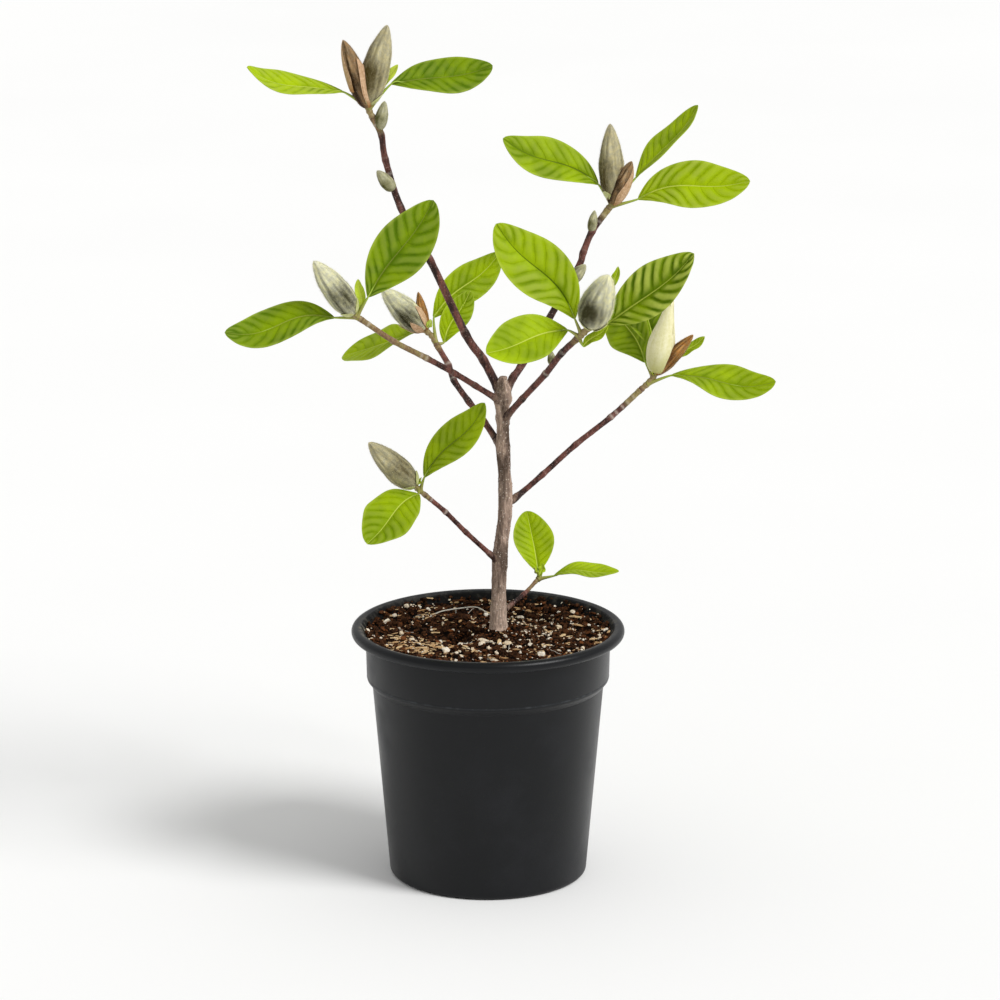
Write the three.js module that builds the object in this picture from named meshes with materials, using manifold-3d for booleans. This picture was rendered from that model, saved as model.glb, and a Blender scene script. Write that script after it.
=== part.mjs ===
// A young star magnolia in a plain nursery pot, as closed solids in millimetres.
// +Z is up and the origin is the centre of the pot's flat underside. A heading is
// measured round +Z from +X, a rise is measured up from the horizontal, both in degrees.

import * as THREE from 'three';
import { mergeVertices } from 'three/addons/utils/BufferGeometryUtils.js';
import Module from 'manifold-3d';

const wasm = await Module();
wasm.setup();

// ---------------------------------------------------------------- driving dimensions

const CLEARANCE = 0.3;
const JOIN_TOLERANCE = 0.04;
const WELD_DISTANCE = 1e-4;
const TAU = 2 * Math.PI;

const POT = {
  height: 155,
  wall: 1.3,
  floor: 2,
  footRadius: 57,
  footCorner: 3,
  wallTopRadius: 70,
  stepHeight: 119,
  bandRadius: 73.4,
  bandHeight: 124,
  lipUnderHeight: 148.5,
  lipRadius: 82.5,
  lipMouthRadius: 76.7,
  lipThroatHeight: 149,
  lipArc: { from: -60, to: 90, steps: 4 },
  mouthDrop: 0.6,
  bandDraft: 0.6,
  stepBevel: { inset: 1, drop: 2 },
  insideRise: 1,
  segments: 40,
  drainHoles: 6,
  drainHoleRadius: 4,
  drainHoleSides: 12,
  drainCircleRadius: 42,
};

const SOIL = {
  level: 148.2,
  mound: 3.5,
  moundSpread: 17,
  ripple: 0.9,
  ripplePitch: 17,
  rings: 6,
  segments: 40,
  hollow: { x: -22, y: -16, depth: 5, spread: 13 },
};

const TRUNK = {
  cutHeight: 150.2,
  topHeight: 308,
  bends: [
    [6.2, 4, 150.2],
    [7.2, 4, 196],
    [10.6, 4, 229],
    [9, 4, 266],
    [9, 4.5, 308],
  ],
  footRadius: 4.8,
  tipRadius: 3.6,
  flare: 1.8,
  flareHeight: 4,
  crownLength: 3,
  crownShare: 0.35,
  knotShare: 0.28,
  knotAbove: 2,
  knotLength: 6,
  sides: 12,
  steps: 18,
};

const LIMB = {
  sides: 8,
  stepLength: 10,
  stemSteps: 3,
  collar: 0.9,
  collarStart: 4.4,
  collarLength: 3.5,
  nodeSwell: 0.28,
  nodeLength: 2.2,
};

// Blades and buds shorter than `smallLength` are made of fewer faces.
const LEAF = {
  thickness: 0.8,
  sway: 12,
  rows: 8,
  columns: 4,
  smallLength: 30,
  smallRows: 4,
  smallColumns: 2,
  footWidth: 1.6,
  widest: 0.52,
  footFullness: 0.86,
  tipFullness: 0.62,
  wave: 0.9,
  leastWave: 0.5,
  fewestWaves: 1.5,
};

const PETIOLE = { sides: 5, steps: 4, radius: 1.4, endRadius: 0.8 };

const BUD = {
  sides: 8,
  rings: 7,
  smallLength: 20,
  smallSides: 6,
  smallRings: 5,
  shoulder: 0.72,
  fullness: 0.62,
};

// The short scales left round each stem's tip, turned on from one another.
const SCALES = {
  count: 2,
  at: 0.75,
  turn: 137.5,
  turnSpread: 40,
  rise: 58,
  riseSpread: 12,
  length: 8,
  leastShare: 0.8,
  shareSpread: 0.5,
  width: 4,
  curl: -20,
  fold: 12,
};

const CHANCE = { seed: 11, massStep: 97, multiplier: 16807, modulus: 2147483647 };

// Each bough leaves the trunk's middle at `height` and grows in straight joints of
// [length, heading, rise], smoothed into one limb. Small side buds sit `at` a distance.
const BOUGHS = [
  {
    name: 'bough_leader',
    height: 295,
    radius: 2.7,
    tipRadius: 1.9,
    joints: [
      [25, 161, 61],
      [19, 169, 55],
      [49, 169, 64],
      [36, 173, 61],
      [30, 166, 72],
      [15, 180, 81],
      [11, 180, 64],
    ],
    buds: [
      { at: 140, heading: 190, rise: 50, length: 16, radius: 4.2 },
      { at: 177, heading: -20, rise: 79, length: 18, radius: 3.9 },
    ],
  },
  {
    name: 'bough_back_right',
    height: 294,
    radius: 2.4,
    tipRadius: 2,
    joints: [[15, 48, 52], [11, 47, 41], [65, 42, 49], [14, 49, 57], [14, 36, 61], [16, 22, 51]],
    buds: [
      { at: 47, heading: 120, rise: 60, length: 6, radius: 2 },
      { at: 84, heading: -20, rise: 50, length: 16, radius: 4.2 },
      { at: 118, heading: 10, rise: 82, length: 14, radius: 3 },
    ],
  },
  {
    name: 'bough_left',
    height: 292,
    radius: 1.9,
    tipRadius: 1.7,
    joints: [[24, 216, 33], [17, 211, 33], [22, 210, 31], [25, 208, 30], [25, 203, 36]],
    buds: [],
  },
  {
    name: 'bough_front_right',
    height: 281,
    radius: 2,
    tipRadius: 2,
    joints: [[24, -49, 43], [27, -47, 43], [21, -50, 46], [17, -47, 40]],
    buds: [{ at: 60, heading: 100, rise: 66, length: 9, radius: 2.5 }],
  },
  {
    name: 'bough_back_left',
    height: 263,
    radius: 2.1,
    tipRadius: 1.8,
    joints: [[22, 133, 41], [17, 134, 37], [16, 137, 42], [11, 121, 51], [14, 132, 45]],
    buds: [],
  },
  {
    name: 'bough_right',
    height: 230,
    radius: 1.8,
    tipRadius: 1.8,
    joints: [[8, 20, 26], [20, 15, 38], [27, 11, 41], [27, 10, 37], [24, 12, 41]],
    buds: [],
  },
  {
    name: 'bough_low_left',
    height: 193,
    radius: 1.6,
    tipRadius: 1.5,
    joints: [[10, 218, 41], [25, 220, 42], [22, 220, 44], [20, 220, 40]],
    buds: [],
  },
  {
    name: 'shoot_basal',
    height: 160,
    radius: 1.5,
    tipRadius: 1.2,
    joints: [[23, 45, 22], [13, 48, 27]],
    buds: [],
  },
];

// Each mass of foliage grows on from its bough's tip as one stem of [length, heading, rise].
// `at` is a place along that stem, from 0 at the bough to 1 at its tip. A petiole is
// [length, heading, rise]. A blade rolls over and folds up along its middle; from its foot to
// its tip it also curls down, turns its heading and twists by the angles given.
const MASSES = [
  {
    name: 'foliage_leader',
    bough: 'bough_leader',
    stem: [9, 185, 68],
    leaves: [
      {
        at: 0.8, petiole: [17, 192, 34], heading: 200, rise: 17, length: 63, width: 27,
        roll: -20, curl: -30, fold: 6, turn: 6, twist: -14, sway: 9,
      },
      {
        at: 0.6, petiole: [21, -8, 49], heading: 13, rise: 8, length: 62, width: 27,
        roll: 40, curl: -12, fold: 6, twist: 20, sway: 6,
      },
      {
        at: 0.7, petiole: [13, -8, 53], heading: 10, rise: 57, length: 19, width: 5,
        roll: 60, curl: 30, fold: 12,
      },
    ],
    buds: [
      { at: 0.9, heading: -16, rise: 75, length: 50, radius: 8.3 },
      { at: 0.7, heading: 199, rise: 70, length: 44, radius: 6.6 },
    ],
  },
  {
    name: 'foliage_left',
    bough: 'bough_left',
    stem: [8, 215, 45],
    leaves: [
      {
        at: 0.3, petiole: [14, 189, 2], heading: 189, rise: -6, length: 66, width: 27,
        roll: -38, curl: 0, fold: 6, turn: 8, twist: -16, sway: 18,
      },
      {
        at: 0.4, petiole: [15, -30, 58], heading: 12, rise: 55, length: 68, width: 31,
        roll: 78, curl: -2, fold: 12, sway: 6,
      },
      {
        at: 0.6, petiole: [6, -13, 55], heading: 180, rise: 86, length: 17, width: 5,
        roll: -80, curl: 10, fold: 10,
      },
    ],
    buds: [{ at: 0.7, heading: 197, rise: 54, length: 41, radius: 8 }],
  },
  {
    name: 'foliage_back_left',
    bough: 'bough_back_left',
    stem: [16, 150, 26],
    leaves: [
      {
        at: 0.9, petiole: [8, 154, -20], heading: 144, rise: -22, length: 58, width: 30,
        roll: -30, curl: -4, fold: 8, sway: 0,
      },
      {
        at: 0.12, petiole: [16, 102, 69], heading: 31, rise: 37, length: 59, width: 22,
        roll: 64, curl: 2, fold: 10,
      },
      {
        at: 0.05, petiole: [5, 14, 15], heading: 40, rise: 55, length: 36, width: 16,
        roll: 55, curl: 16, fold: 14,
      },
    ],
    buds: [
      { at: 0.85, heading: 196, rise: 46, length: 38, radius: 8 },
      { at: 0.75, heading: 180, rise: 79, length: 25, radius: 3.6 },
    ],
  },
  {
    name: 'foliage_front_right',
    bough: 'bough_front_right',
    stem: [16, -38, 46],
    leaves: [
      {
        at: 0.3, petiole: [11, 206, 66], heading: 184, rise: 51, length: 74, width: 33,
        roll: -72, curl: 13, fold: 8,
      },
      {
        at: 0.15, petiole: [10, 216, 31], heading: 216, rise: -6, length: 59, width: 30,
        roll: -44, curl: 6, fold: 8, turn: 6, twist: 0, sway: 8,
      },
      {
        at: 0.6, petiole: [13, 9, 15], heading: -18, rise: 41, length: 69, width: 29,
        roll: 70, curl: -16, fold: 20, twist: -16, sway: 4,
      },
      {
        at: 0.1, petiole: [6, -20, -60], heading: -14, rise: 42, length: 20, width: 6,
        roll: 60, curl: 0, fold: 14,
      },
      {
        at: 0.7, petiole: [25, 13, 57], heading: 6, rise: 74, length: 16, width: 4,
        roll: 70, curl: 0, fold: 12,
      },
    ],
    buds: [{ at: 0.85, heading: -68, rise: 53, length: 44, radius: 10 }],
  },
  {
    name: 'foliage_back_right',
    bough: 'bough_back_right',
    stem: [7, 18, 62],
    leaves: [
      {
        at: 0.5, petiole: [15, 180, 57], heading: 190, rise: 27, length: 66, width: 28,
        roll: -50, curl: 0, fold: 10,
      },
      {
        at: 0.4, petiole: [23, 21, 45], heading: 21, rise: 46, length: 58, width: 25,
        roll: 4, curl: -16, fold: 16, sway: 6,
      },
      {
        at: 0.2, petiole: [18, -3, 17], heading: -10, rise: 11, length: 70, width: 31,
        roll: 52, curl: 18, fold: 8,
      },
    ],
    buds: [
      { at: 0.8, heading: 130, rise: 86, length: 47, radius: 7.6 },
      { at: 0.5, heading: -20, rise: 65, length: 30, radius: 5.7 },
    ],
  },
  {
    name: 'foliage_right',
    bough: 'bough_right',
    stem: [15, 20, 50],
    leaves: [
      {
        at: 0.35, petiole: [16, -12, 23], heading: -11, rise: -1, length: 64, width: 27,
        roll: 30, curl: -20, fold: 6, turn: -4, twist: 34,
      },
      {
        at: 0.7, petiole: [11, 128, 47], heading: 118, rise: 35, length: 53, width: 28,
        roll: -60, curl: 14, fold: 12,
      },
      {
        at: 0.95, petiole: [14, 103, 66], heading: 98, rise: 30, length: 48, width: 22,
        roll: -20, curl: 10, fold: 20,
      },
      {
        at: 0.9, petiole: [13, 6, 36], heading: 9, rise: 37, length: 24, width: 7,
        roll: 40, curl: 0, fold: 16,
      },
    ],
    buds: [
      { at: 0.9, heading: -21, rise: 79, length: 52, radius: 8.2 },
      { at: 0.85, heading: -18, rise: 48, length: 35, radius: 4.8 },
    ],
  },
  {
    name: 'foliage_low_left',
    bough: 'bough_low_left',
    stem: [12, 222, 48],
    leaves: [
      {
        at: 0.4, petiole: [11, -58, 63], heading: -13, rise: 52, length: 60, width: 23,
        roll: 62, curl: -6, fold: 12,
      },
      {
        at: 0.6, petiole: [6, -85, -15], heading: 231, rise: -24, length: 52, width: 31,
        roll: -18, curl: 22, fold: 8,
      },
    ],
    buds: [{ at: 0.8, heading: 194, rise: 45, length: 40, radius: 7.8 }],
  },
  {
    name: 'foliage_basal',
    bough: 'shoot_basal',
    stem: [4, 34, 49],
    leaves: [
      {
        at: 0.7, petiole: [4, 100, 45], heading: 108, rise: 56, length: 40, width: 24,
        roll: -6, curl: 16, fold: 16, sway: 4,
      },
      {
        at: 0.5, petiole: [10, -12, 16], heading: -16, rise: 8, length: 42, width: 19,
        roll: 10, curl: 20, fold: 8,
      },
    ],
    buds: [],
  },
];

// ---------------------------------------------------------------- finishes

const FINISHES = {
  pot: { color: '#1b1c1e', roughness: 0.42 },
  soil: { color: '#3a2a20', roughness: 0.95 },
  trunk: { color: '#7d695c', roughness: 0.85 },
  bough: { color: '#5b3a36', roughness: 0.7 },
  foliage: { color: '#8fb53a', roughness: 0.5 },
};

// ---------------------------------------------------------------- directions and chance

const radians = (degrees) => (degrees * Math.PI) / 180;

function direction(heading, rise) {
  const flat = Math.cos(radians(rise));
  return new THREE.Vector3(
    flat * Math.cos(radians(heading)),
    flat * Math.sin(radians(heading)),
    Math.sin(radians(rise)),
  );
}

// A frame that looks along a direction: `side` is level, `face` points up, then both roll.
function frameAlong(heading, rise, roll = 0) {
  const ahead = direction(heading, rise);
  const level = new THREE.Vector3(-Math.sin(radians(heading)), Math.cos(radians(heading)), 0);
  const above = new THREE.Vector3().crossVectors(ahead, level);
  const cosine = Math.cos(radians(roll));
  const sine = Math.sin(radians(roll));
  const side = level.clone().multiplyScalar(cosine).addScaledVector(above, sine);
  const face = above.clone().multiplyScalar(cosine).addScaledVector(level, -sine);
  return { ahead, side, face };
}

// A small seeded generator of numbers from 0 to 1.
function seeded(seed) {
  let state = seed;
  return () => {
    state = (state * CHANCE.multiplier) % CHANCE.modulus;
    return state / CHANCE.modulus;
  };
}

// ---------------------------------------------------------------- solids

// Merges shared corners and drops the flat triangles left where an end closes to a point.
function closedGeometry(geometry) {
  geometry.deleteAttribute('normal');
  geometry.deleteAttribute('uv');
  const merged = mergeVertices(geometry, WELD_DISTANCE);
  const corners = merged.index.array;
  const kept = [];
  for (let i = 0; i < corners.length; i += 3) {
    const [a, b, c] = [corners[i], corners[i + 1], corners[i + 2]];
    if (a !== b && b !== c && c !== a) kept.push(a, b, c);
  }
  merged.setIndex(kept);
  return merged;
}

function solidOf(geometry) {
  const closed = closedGeometry(geometry);
  return new wasm.Manifold(new wasm.Mesh({
    numProp: 3,
    vertProperties: new Float32Array(closed.attributes.position.array),
    triVerts: new Uint32Array(closed.index.array),
  }));
}

// The slivers that a join leaves, finer than the tolerance, are smoothed away.
function geometryOf(solid) {
  const mesh = solid.asOriginal().simplify(JOIN_TOLERANCE).getMesh();
  const geometry = new THREE.BufferGeometry();
  geometry.setAttribute('position', new THREE.BufferAttribute(mesh.vertProperties, 3));
  geometry.setIndex(new THREE.BufferAttribute(mesh.triVerts, 1));
  return geometry;
}

// Keeps the largest piece of a solid and drops loose scraps.
function mainPiece(solid) {
  const pieces = solid.decompose();
  pieces.sort((a, b) => b.volume() - a.volume());
  return pieces[0];
}

const meets = (first, second) => !first.intersect(second).isEmpty();

// ---------------------------------------------------------------- rods

// Bends a capped cylinder along stations of {point, side, face, width, depth}.
function rod(stations, sides) {
  const steps = stations.length - 1;
  const geometry = new THREE.CylinderGeometry(1, 1, 1, sides, steps, false);
  const position = geometry.attributes.position;
  for (let i = 0; i < position.count; i += 1) {
    const station = stations[Math.round((position.getY(i) + 0.5) * steps)];
    const moved = station.point.clone()
      .addScaledVector(station.side, position.getZ(i) * station.width)
      .addScaledVector(station.face, position.getX(i) * station.depth);
    position.setXYZ(i, moved.x, moved.y, moved.z);
  }
  return geometry;
}

// Stations along a curve, with frames carried along it, and a radius at each distance.
function roundStations(curve, steps, radiusAt) {
  const frames = curve.computeFrenetFrames(steps, false);
  const length = curve.getLength();
  return frames.tangents.map((tangent, i) => {
    const radius = radiusAt((length * i) / steps);
    return {
      point: curve.getPointAt(i / steps),
      side: frames.normals[i],
      face: frames.binormals[i],
      width: radius,
      depth: radius,
    };
  });
}

const smoothCurve = (points) => new THREE.CatmullRomCurve3(points, false, 'catmullrom', 0.5);

// ---------------------------------------------------------------- pot and soil

// Outer radius of the pot's tapered wall at a height, from its foot up to the step.
function wallRadius(height) {
  const share = (height - POT.footCorner) / (POT.stepHeight - POT.footCorner);
  return THREE.MathUtils.lerp(POT.footRadius + POT.footCorner, POT.wallTopRadius, share);
}

function arcPoints(x, y, radius, { from, to, steps }) {
  return Array.from({ length: steps + 1 }, (_, i) => {
    const angle = radians(from + ((to - from) * i) / steps);
    return new THREE.Vector2(x + radius * Math.cos(angle), y + radius * Math.sin(angle));
  });
}

function revolve(profile, segments) {
  return new THREE.LatheGeometry(profile, segments).rotateX(Math.PI / 2);
}

function potGeometry() {
  const lipHalf = (POT.height - POT.lipUnderHeight) / 2;
  const lip = arcPoints(POT.lipRadius - lipHalf, POT.height - lipHalf, lipHalf, POT.lipArc);
  const foot = arcPoints(POT.footRadius, POT.footCorner, POT.footCorner, { from: -90, to: 0, steps: 2 });
  const profile = [
    new THREE.Vector2(0, 0),
    ...foot,
    new THREE.Vector2(wallRadius(POT.stepHeight), POT.stepHeight),
    new THREE.Vector2(POT.bandRadius - POT.stepBevel.inset, POT.bandHeight - POT.stepBevel.drop),
    new THREE.Vector2(POT.bandRadius, POT.bandHeight),
    new THREE.Vector2(POT.bandRadius + POT.bandDraft, POT.lipUnderHeight),
    ...lip,
    new THREE.Vector2(POT.lipMouthRadius, POT.height - POT.mouthDrop),
    new THREE.Vector2(POT.bandRadius - POT.wall + POT.bandDraft, POT.lipThroatHeight),
    new THREE.Vector2(POT.bandRadius - POT.wall, POT.bandHeight),
    new THREE.Vector2(wallRadius(POT.stepHeight) - POT.wall, POT.stepHeight - POT.insideRise),
    new THREE.Vector2(wallRadius(POT.footCorner) - POT.wall, POT.footCorner + POT.insideRise),
    new THREE.Vector2(POT.footRadius - POT.wall, POT.floor),
    new THREE.Vector2(0, POT.floor),
  ];
  const radius = POT.drainHoleRadius;
  let pot = solidOf(revolve(profile, POT.segments));
  for (let i = 0; i < POT.drainHoles; i += 1) {
    const hole = direction((360 * i) / POT.drainHoles, 0).multiplyScalar(POT.drainCircleRadius);
    const drill = new THREE.CylinderGeometry(radius, radius, POT.floor, POT.drainHoleSides)
      .rotateX(Math.PI / 2)
      .scale(1, 1, 2)
      .translate(hole.x, hole.y, POT.floor / 2);
    pot = pot.subtract(solidOf(drill));
  }
  return geometryOf(pot);
}

// Height of the soil's surface: a low mound round the trunk, a hollow and soft ripples.
function soilHeight(x, y) {
  const [trunkX, trunkY] = TRUNK.bends[0];
  const fromTrunk = Math.hypot(x - trunkX, y - trunkY) / SOIL.moundSpread;
  const fromHollow = Math.hypot(x - SOIL.hollow.x, y - SOIL.hollow.y) / SOIL.hollow.spread;
  const mound = SOIL.mound * Math.exp(-fromTrunk * fromTrunk);
  const hollow = SOIL.hollow.depth * Math.exp(-fromHollow * fromHollow);
  const along = Math.sin((TAU * x) / SOIL.ripplePitch);
  const across = Math.cos((TAU * y) / SOIL.ripplePitch);
  return SOIL.level + mound - hollow + SOIL.ripple * along * across * Math.min(1, fromTrunk);
}

function soilGeometry(trunkFoot) {
  const lowRadius = wallRadius(POT.footCorner) - POT.wall - CLEARANCE;
  const stepRadius = wallRadius(POT.stepHeight) - POT.wall - CLEARANCE;
  const rimRadius = POT.bandRadius - POT.wall - CLEARANCE;
  const floor = POT.floor + CLEARANCE;
  const profile = [
    new THREE.Vector2(0, floor),
    new THREE.Vector2(POT.footRadius - POT.wall - CLEARANCE, floor),
    new THREE.Vector2(lowRadius, POT.footCorner + POT.insideRise),
    new THREE.Vector2(stepRadius, POT.stepHeight - POT.insideRise),
    new THREE.Vector2(rimRadius, POT.bandHeight),
  ];
  for (let i = SOIL.rings; i >= 0; i -= 1) {
    profile.push(new THREE.Vector2((rimRadius * i) / SOIL.rings, SOIL.level));
  }
  const geometry = revolve(profile, SOIL.segments);
  const position = geometry.attributes.position;
  for (let i = 0; i < position.count; i += 1) {
    if (position.getZ(i) > (POT.bandHeight + SOIL.level) / 2) {
      position.setZ(i, soilHeight(position.getX(i), position.getY(i)));
    }
  }
  return geometryOf(solidOf(geometry).subtract(trunkFoot));
}

// ---------------------------------------------------------------- trunk and boughs

const trunkCurve = smoothCurve(TRUNK.bends.map(([x, y, z]) => new THREE.Vector3(x, y, z)));

function trunkPoint(height) {
  const share = (height - TRUNK.cutHeight) / (TRUNK.topHeight - TRUNK.cutHeight);
  return trunkCurve.getPointAt(share);
}

// The trunk tapers from its flared foot, has a knot where each bough leaves and a worn top.
function trunkRadius(distance) {
  const length = trunkCurve.getLength();
  const taper = THREE.MathUtils.lerp(TRUNK.footRadius, TRUNK.tipRadius, distance / length);
  const flare = TRUNK.flare * Math.exp(-distance / TRUNK.flareHeight);
  let knots = 0;
  for (const bough of BOUGHS) {
    const away = (distance + TRUNK.cutHeight - bough.height - TRUNK.knotAbove) / TRUNK.knotLength;
    knots += TRUNK.knotShare * bough.radius * Math.exp(-away * away);
  }
  const toTop = Math.min(1, (length - distance) / TRUNK.crownLength);
  return (taper + flare + knots) * Math.sqrt(THREE.MathUtils.lerp(TRUNK.crownShare, 1, toTop));
}

function trunkSolid(extra) {
  const stations = roundStations(trunkCurve, TRUNK.steps, (distance) => trunkRadius(distance) + extra);
  return solidOf(rod(stations, TRUNK.sides));
}

function jointPoints(start, joints) {
  const points = [start.clone()];
  for (const [length, heading, rise] of joints) {
    points.push(points[points.length - 1].clone().addScaledVector(direction(heading, rise), length));
  }
  return points;
}

function limbRadius(limb, distance, length) {
  const taper = THREE.MathUtils.lerp(limb.radius, limb.tipRadius, distance / length);
  const outside = Math.max(0, distance - LIMB.collarStart);
  const collar = LIMB.collar * Math.exp(-outside / LIMB.collarLength);
  let swell = 0;
  let node = 0;
  for (const [jointLength] of limb.joints) {
    node += jointLength;
    const away = (distance - node) / LIMB.nodeLength;
    swell += LIMB.nodeSwell * Math.exp(-away * away);
  }
  return taper + collar + swell;
}

// A bud's half-width along its length, from a blunt foot to a drawn-out tip.
const budProfile = (share) => Math.sin(Math.PI * share ** BUD.shoulder) ** BUD.fullness;

function budSolid(start, bud) {
  const frame = frameAlong(bud.heading, bud.rise);
  const small = bud.length < BUD.smallLength;
  const rings = small ? BUD.smallRings : BUD.rings;
  const stations = Array.from({ length: rings + 1 }, (_, i) => {
    const share = i / rings;
    const radius = i === 0 || i === rings ? 0 : bud.radius * budProfile(share);
    return {
      point: start.clone().addScaledVector(frame.ahead, bud.length * share),
      side: frame.side,
      face: frame.face,
      width: radius,
      depth: radius,
    };
  });
  return solidOf(rod(stations, small ? BUD.smallSides : BUD.sides));
}

function boughLimb(bough) {
  const curve = smoothCurve(jointPoints(trunkPoint(bough.height), bough.joints));
  const length = curve.getLength();
  const steps = Math.round(length / LIMB.stepLength);
  const shape = (extra) => {
    const radiusAt = (distance) => limbRadius(bough, distance, length) + extra;
    let solid = solidOf(rod(roundStations(curve, steps, radiusAt), LIMB.sides));
    for (const bud of bough.buds) {
      const root = curve.getPointAt(bud.at / length);
      const grown = { ...bud, radius: bud.radius + extra, length: bud.length + extra };
      solid = solid.add(budSolid(root, grown));
    }
    return solid;
  };
  return { curve, tipRadius: bough.tipRadius, solid: shape(0), keepOut: shape(CLEARANCE) };
}

// ---------------------------------------------------------------- leaves

// A blade is wedge-shaped at its foot, widest past its middle and blunter at its tip.
function bladeHalfWidth(leaf, share) {
  const power = Math.log(0.5) / Math.log(LEAF.widest);
  const fullness = THREE.MathUtils.lerp(LEAF.footFullness, LEAF.tipFullness, share);
  const outline = Math.max(0, Math.sin(Math.PI * share ** power)) ** fullness;
  return (LEAF.footWidth * (1 - share) + leaf.width * outline) / 2;
}

// Points and frames down the middle of a blade, which curls, turns and twists as it goes.
// It also sways: steeper at its foot and tip than at its middle.
function bladeSpine(leaf, start) {
  const { length, heading, rise, roll, curl, turn = 0, twist = 0, sway = LEAF.sway } = leaf;
  const riseAt = (along) => rise - curl * along - sway * Math.cos(TAU * along);
  const rows = length < LEAF.smallLength ? LEAF.smallRows : LEAF.rows;
  const spine = [];
  const point = start.clone();
  for (let i = 0; i <= rows; i += 1) {
    const here = i / rows - 0.5;
    const next = (i + 0.5) / rows - 0.5;
    const frame = frameAlong(heading + turn * here, riseAt(here), roll + twist * here);
    spine.push({ point: point.clone(), ...frame });
    point.addScaledVector(direction(heading + turn * next, riseAt(next)), length / rows);
  }
  return spine;
}

// A blade starts as a flat slab whose corners are moved onto the folded, wavy surface.
function bladeSolid(leaf, spine, chance) {
  const waves = LEAF.fewestWaves + chance();
  const phase = TAU * chance();
  const wave = LEAF.wave * (LEAF.leastWave + chance());
  const rows = spine.length - 1;
  const columns = rows === LEAF.rows ? LEAF.columns : LEAF.smallColumns;
  const slab = new THREE.BoxGeometry(2, 2, 1, columns, 1, rows);
  const position = slab.attributes.position;
  const lift = Math.tan(radians(leaf.fold));
  for (let i = 0; i < position.count; i += 1) {
    const across = position.getX(i);
    const row = Math.round((position.getZ(i) + 0.5) * rows);
    const share = row / rows;
    const { point, side, face } = spine[row];
    const half = row === rows ? 0 : bladeHalfWidth(leaf, share);
    const swing = Math.sin(Math.sign(across) + phase + TAU * waves * share);
    const ripple = wave * across * across * swing * Math.sin(Math.PI * share);
    const height = half * Math.abs(across) * lift + ripple;
    const moved = point.clone()
      .addScaledVector(side, half * across)
      .addScaledVector(face, height + (position.getY(i) * LEAF.thickness) / 2);
    position.setXYZ(i, moved.x, moved.y, moved.z);
  }
  return solidOf(slab);
}

function petioleSolid(start, spine) {
  const curve = smoothCurve([start, spine[0].point, spine[1].point]);
  const length = curve.getLength();
  const { radius, endRadius } = PETIOLE;
  const radiusAt = (distance) => THREE.MathUtils.lerp(radius, endRadius, distance / length);
  return solidOf(rod(roundStations(curve, PETIOLE.steps, radiusAt), PETIOLE.sides));
}

function leafSolid(stemCurve, leaf, chance) {
  const root = stemCurve.getPointAt(leaf.at);
  if (!leaf.petiole) return bladeSolid(leaf, bladeSpine(leaf, root), chance);
  const [length, heading, rise] = leaf.petiole;
  const foot = root.clone().addScaledVector(direction(heading, rise), length);
  const spine = bladeSpine(leaf, foot);
  return petioleSolid(root, spine).add(bladeSolid(leaf, spine, chance));
}

// ---------------------------------------------------------------- masses of foliage

function scaleLeaves(stemHeading, chance) {
  return Array.from({ length: SCALES.count }, (_, i) => ({
    at: SCALES.at,
    heading: stemHeading + SCALES.turn * i + SCALES.turnSpread * chance(),
    rise: SCALES.rise + SCALES.riseSpread * chance(),
    length: SCALES.length * (SCALES.leastShare + SCALES.shareSpread * chance()),
    width: SCALES.width,
    roll: 0,
    curl: SCALES.curl,
    fold: SCALES.fold,
  }));
}

// One mass: its stem starts clear of the bough's tip, and every piece is fused to it.
// A leaf or bud that would touch a limb or an earlier mass is left out.
function massSolid(mass, index, bough, taken) {
  const chance = seeded(CHANCE.seed + CHANCE.massStep * index);
  const tip = bough.curve.getPointAt(1);
  const outward = bough.curve.getTangentAt(1);
  const start = tip.clone().addScaledVector(outward, CLEARANCE);
  const [length, heading, rise] = mass.stem;
  const middle = start.clone().addScaledVector(outward, length / 2);
  const end = middle.clone().addScaledVector(direction(heading, rise), length / 2);
  const curve = smoothCurve([start, middle, end]);
  let solid = solidOf(rod(roundStations(curve, LIMB.stemSteps, () => bough.tipRadius), LIMB.sides));
  const pieces = [
    ...mass.buds.map((bud) => budSolid(curve.getPointAt(bud.at), bud)),
    ...mass.leaves.map((leaf) => leafSolid(curve, leaf, chance)),
    ...scaleLeaves(heading, chance).map((leaf) => leafSolid(curve, leaf, chance)),
  ];
  for (const piece of pieces) {
    if (!taken.some((other) => meets(piece, other))) solid = solid.add(piece);
  }
  return mainPiece(solid.subtract(bough.keepOut));
}

// ---------------------------------------------------------------- the whole plant

const magnolia = new THREE.Group();

function place(name, geometry, finish) {
  const material = new THREE.MeshStandardMaterial({ ...finish, metalness: 0 });
  const mesh = new THREE.Mesh(geometry, material);
  mesh.name = name;
  magnolia.add(mesh);
}

const trunk = trunkSolid(0);
const trunkKeepOut = trunkSolid(CLEARANCE);
const [footX, footY] = TRUNK.bends[0];
const socketRadius = trunkRadius(0) + CLEARANCE;
const socket = new THREE.CylinderGeometry(socketRadius, socketRadius, 2 * CLEARANCE, TRUNK.sides)
  .rotateX(Math.PI / 2)
  .translate(footX, footY, TRUNK.cutHeight);

place('pot', potGeometry(), FINISHES.pot);
place('soil', soilGeometry(trunkKeepOut.add(solidOf(socket))), FINISHES.soil);
place('trunk', geometryOf(trunk), FINISHES.trunk);

const taken = [trunkKeepOut];
const limbs = new Map();
for (const bough of BOUGHS) {
  const limb = boughLimb(bough);
  const cut = taken.reduce((solid, other) => solid.subtract(other), limb.solid);
  limbs.set(bough.name, limb);
  taken.push(limb.keepOut);
  place(bough.name, geometryOf(mainPiece(cut)), FINISHES.bough);
}

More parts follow.
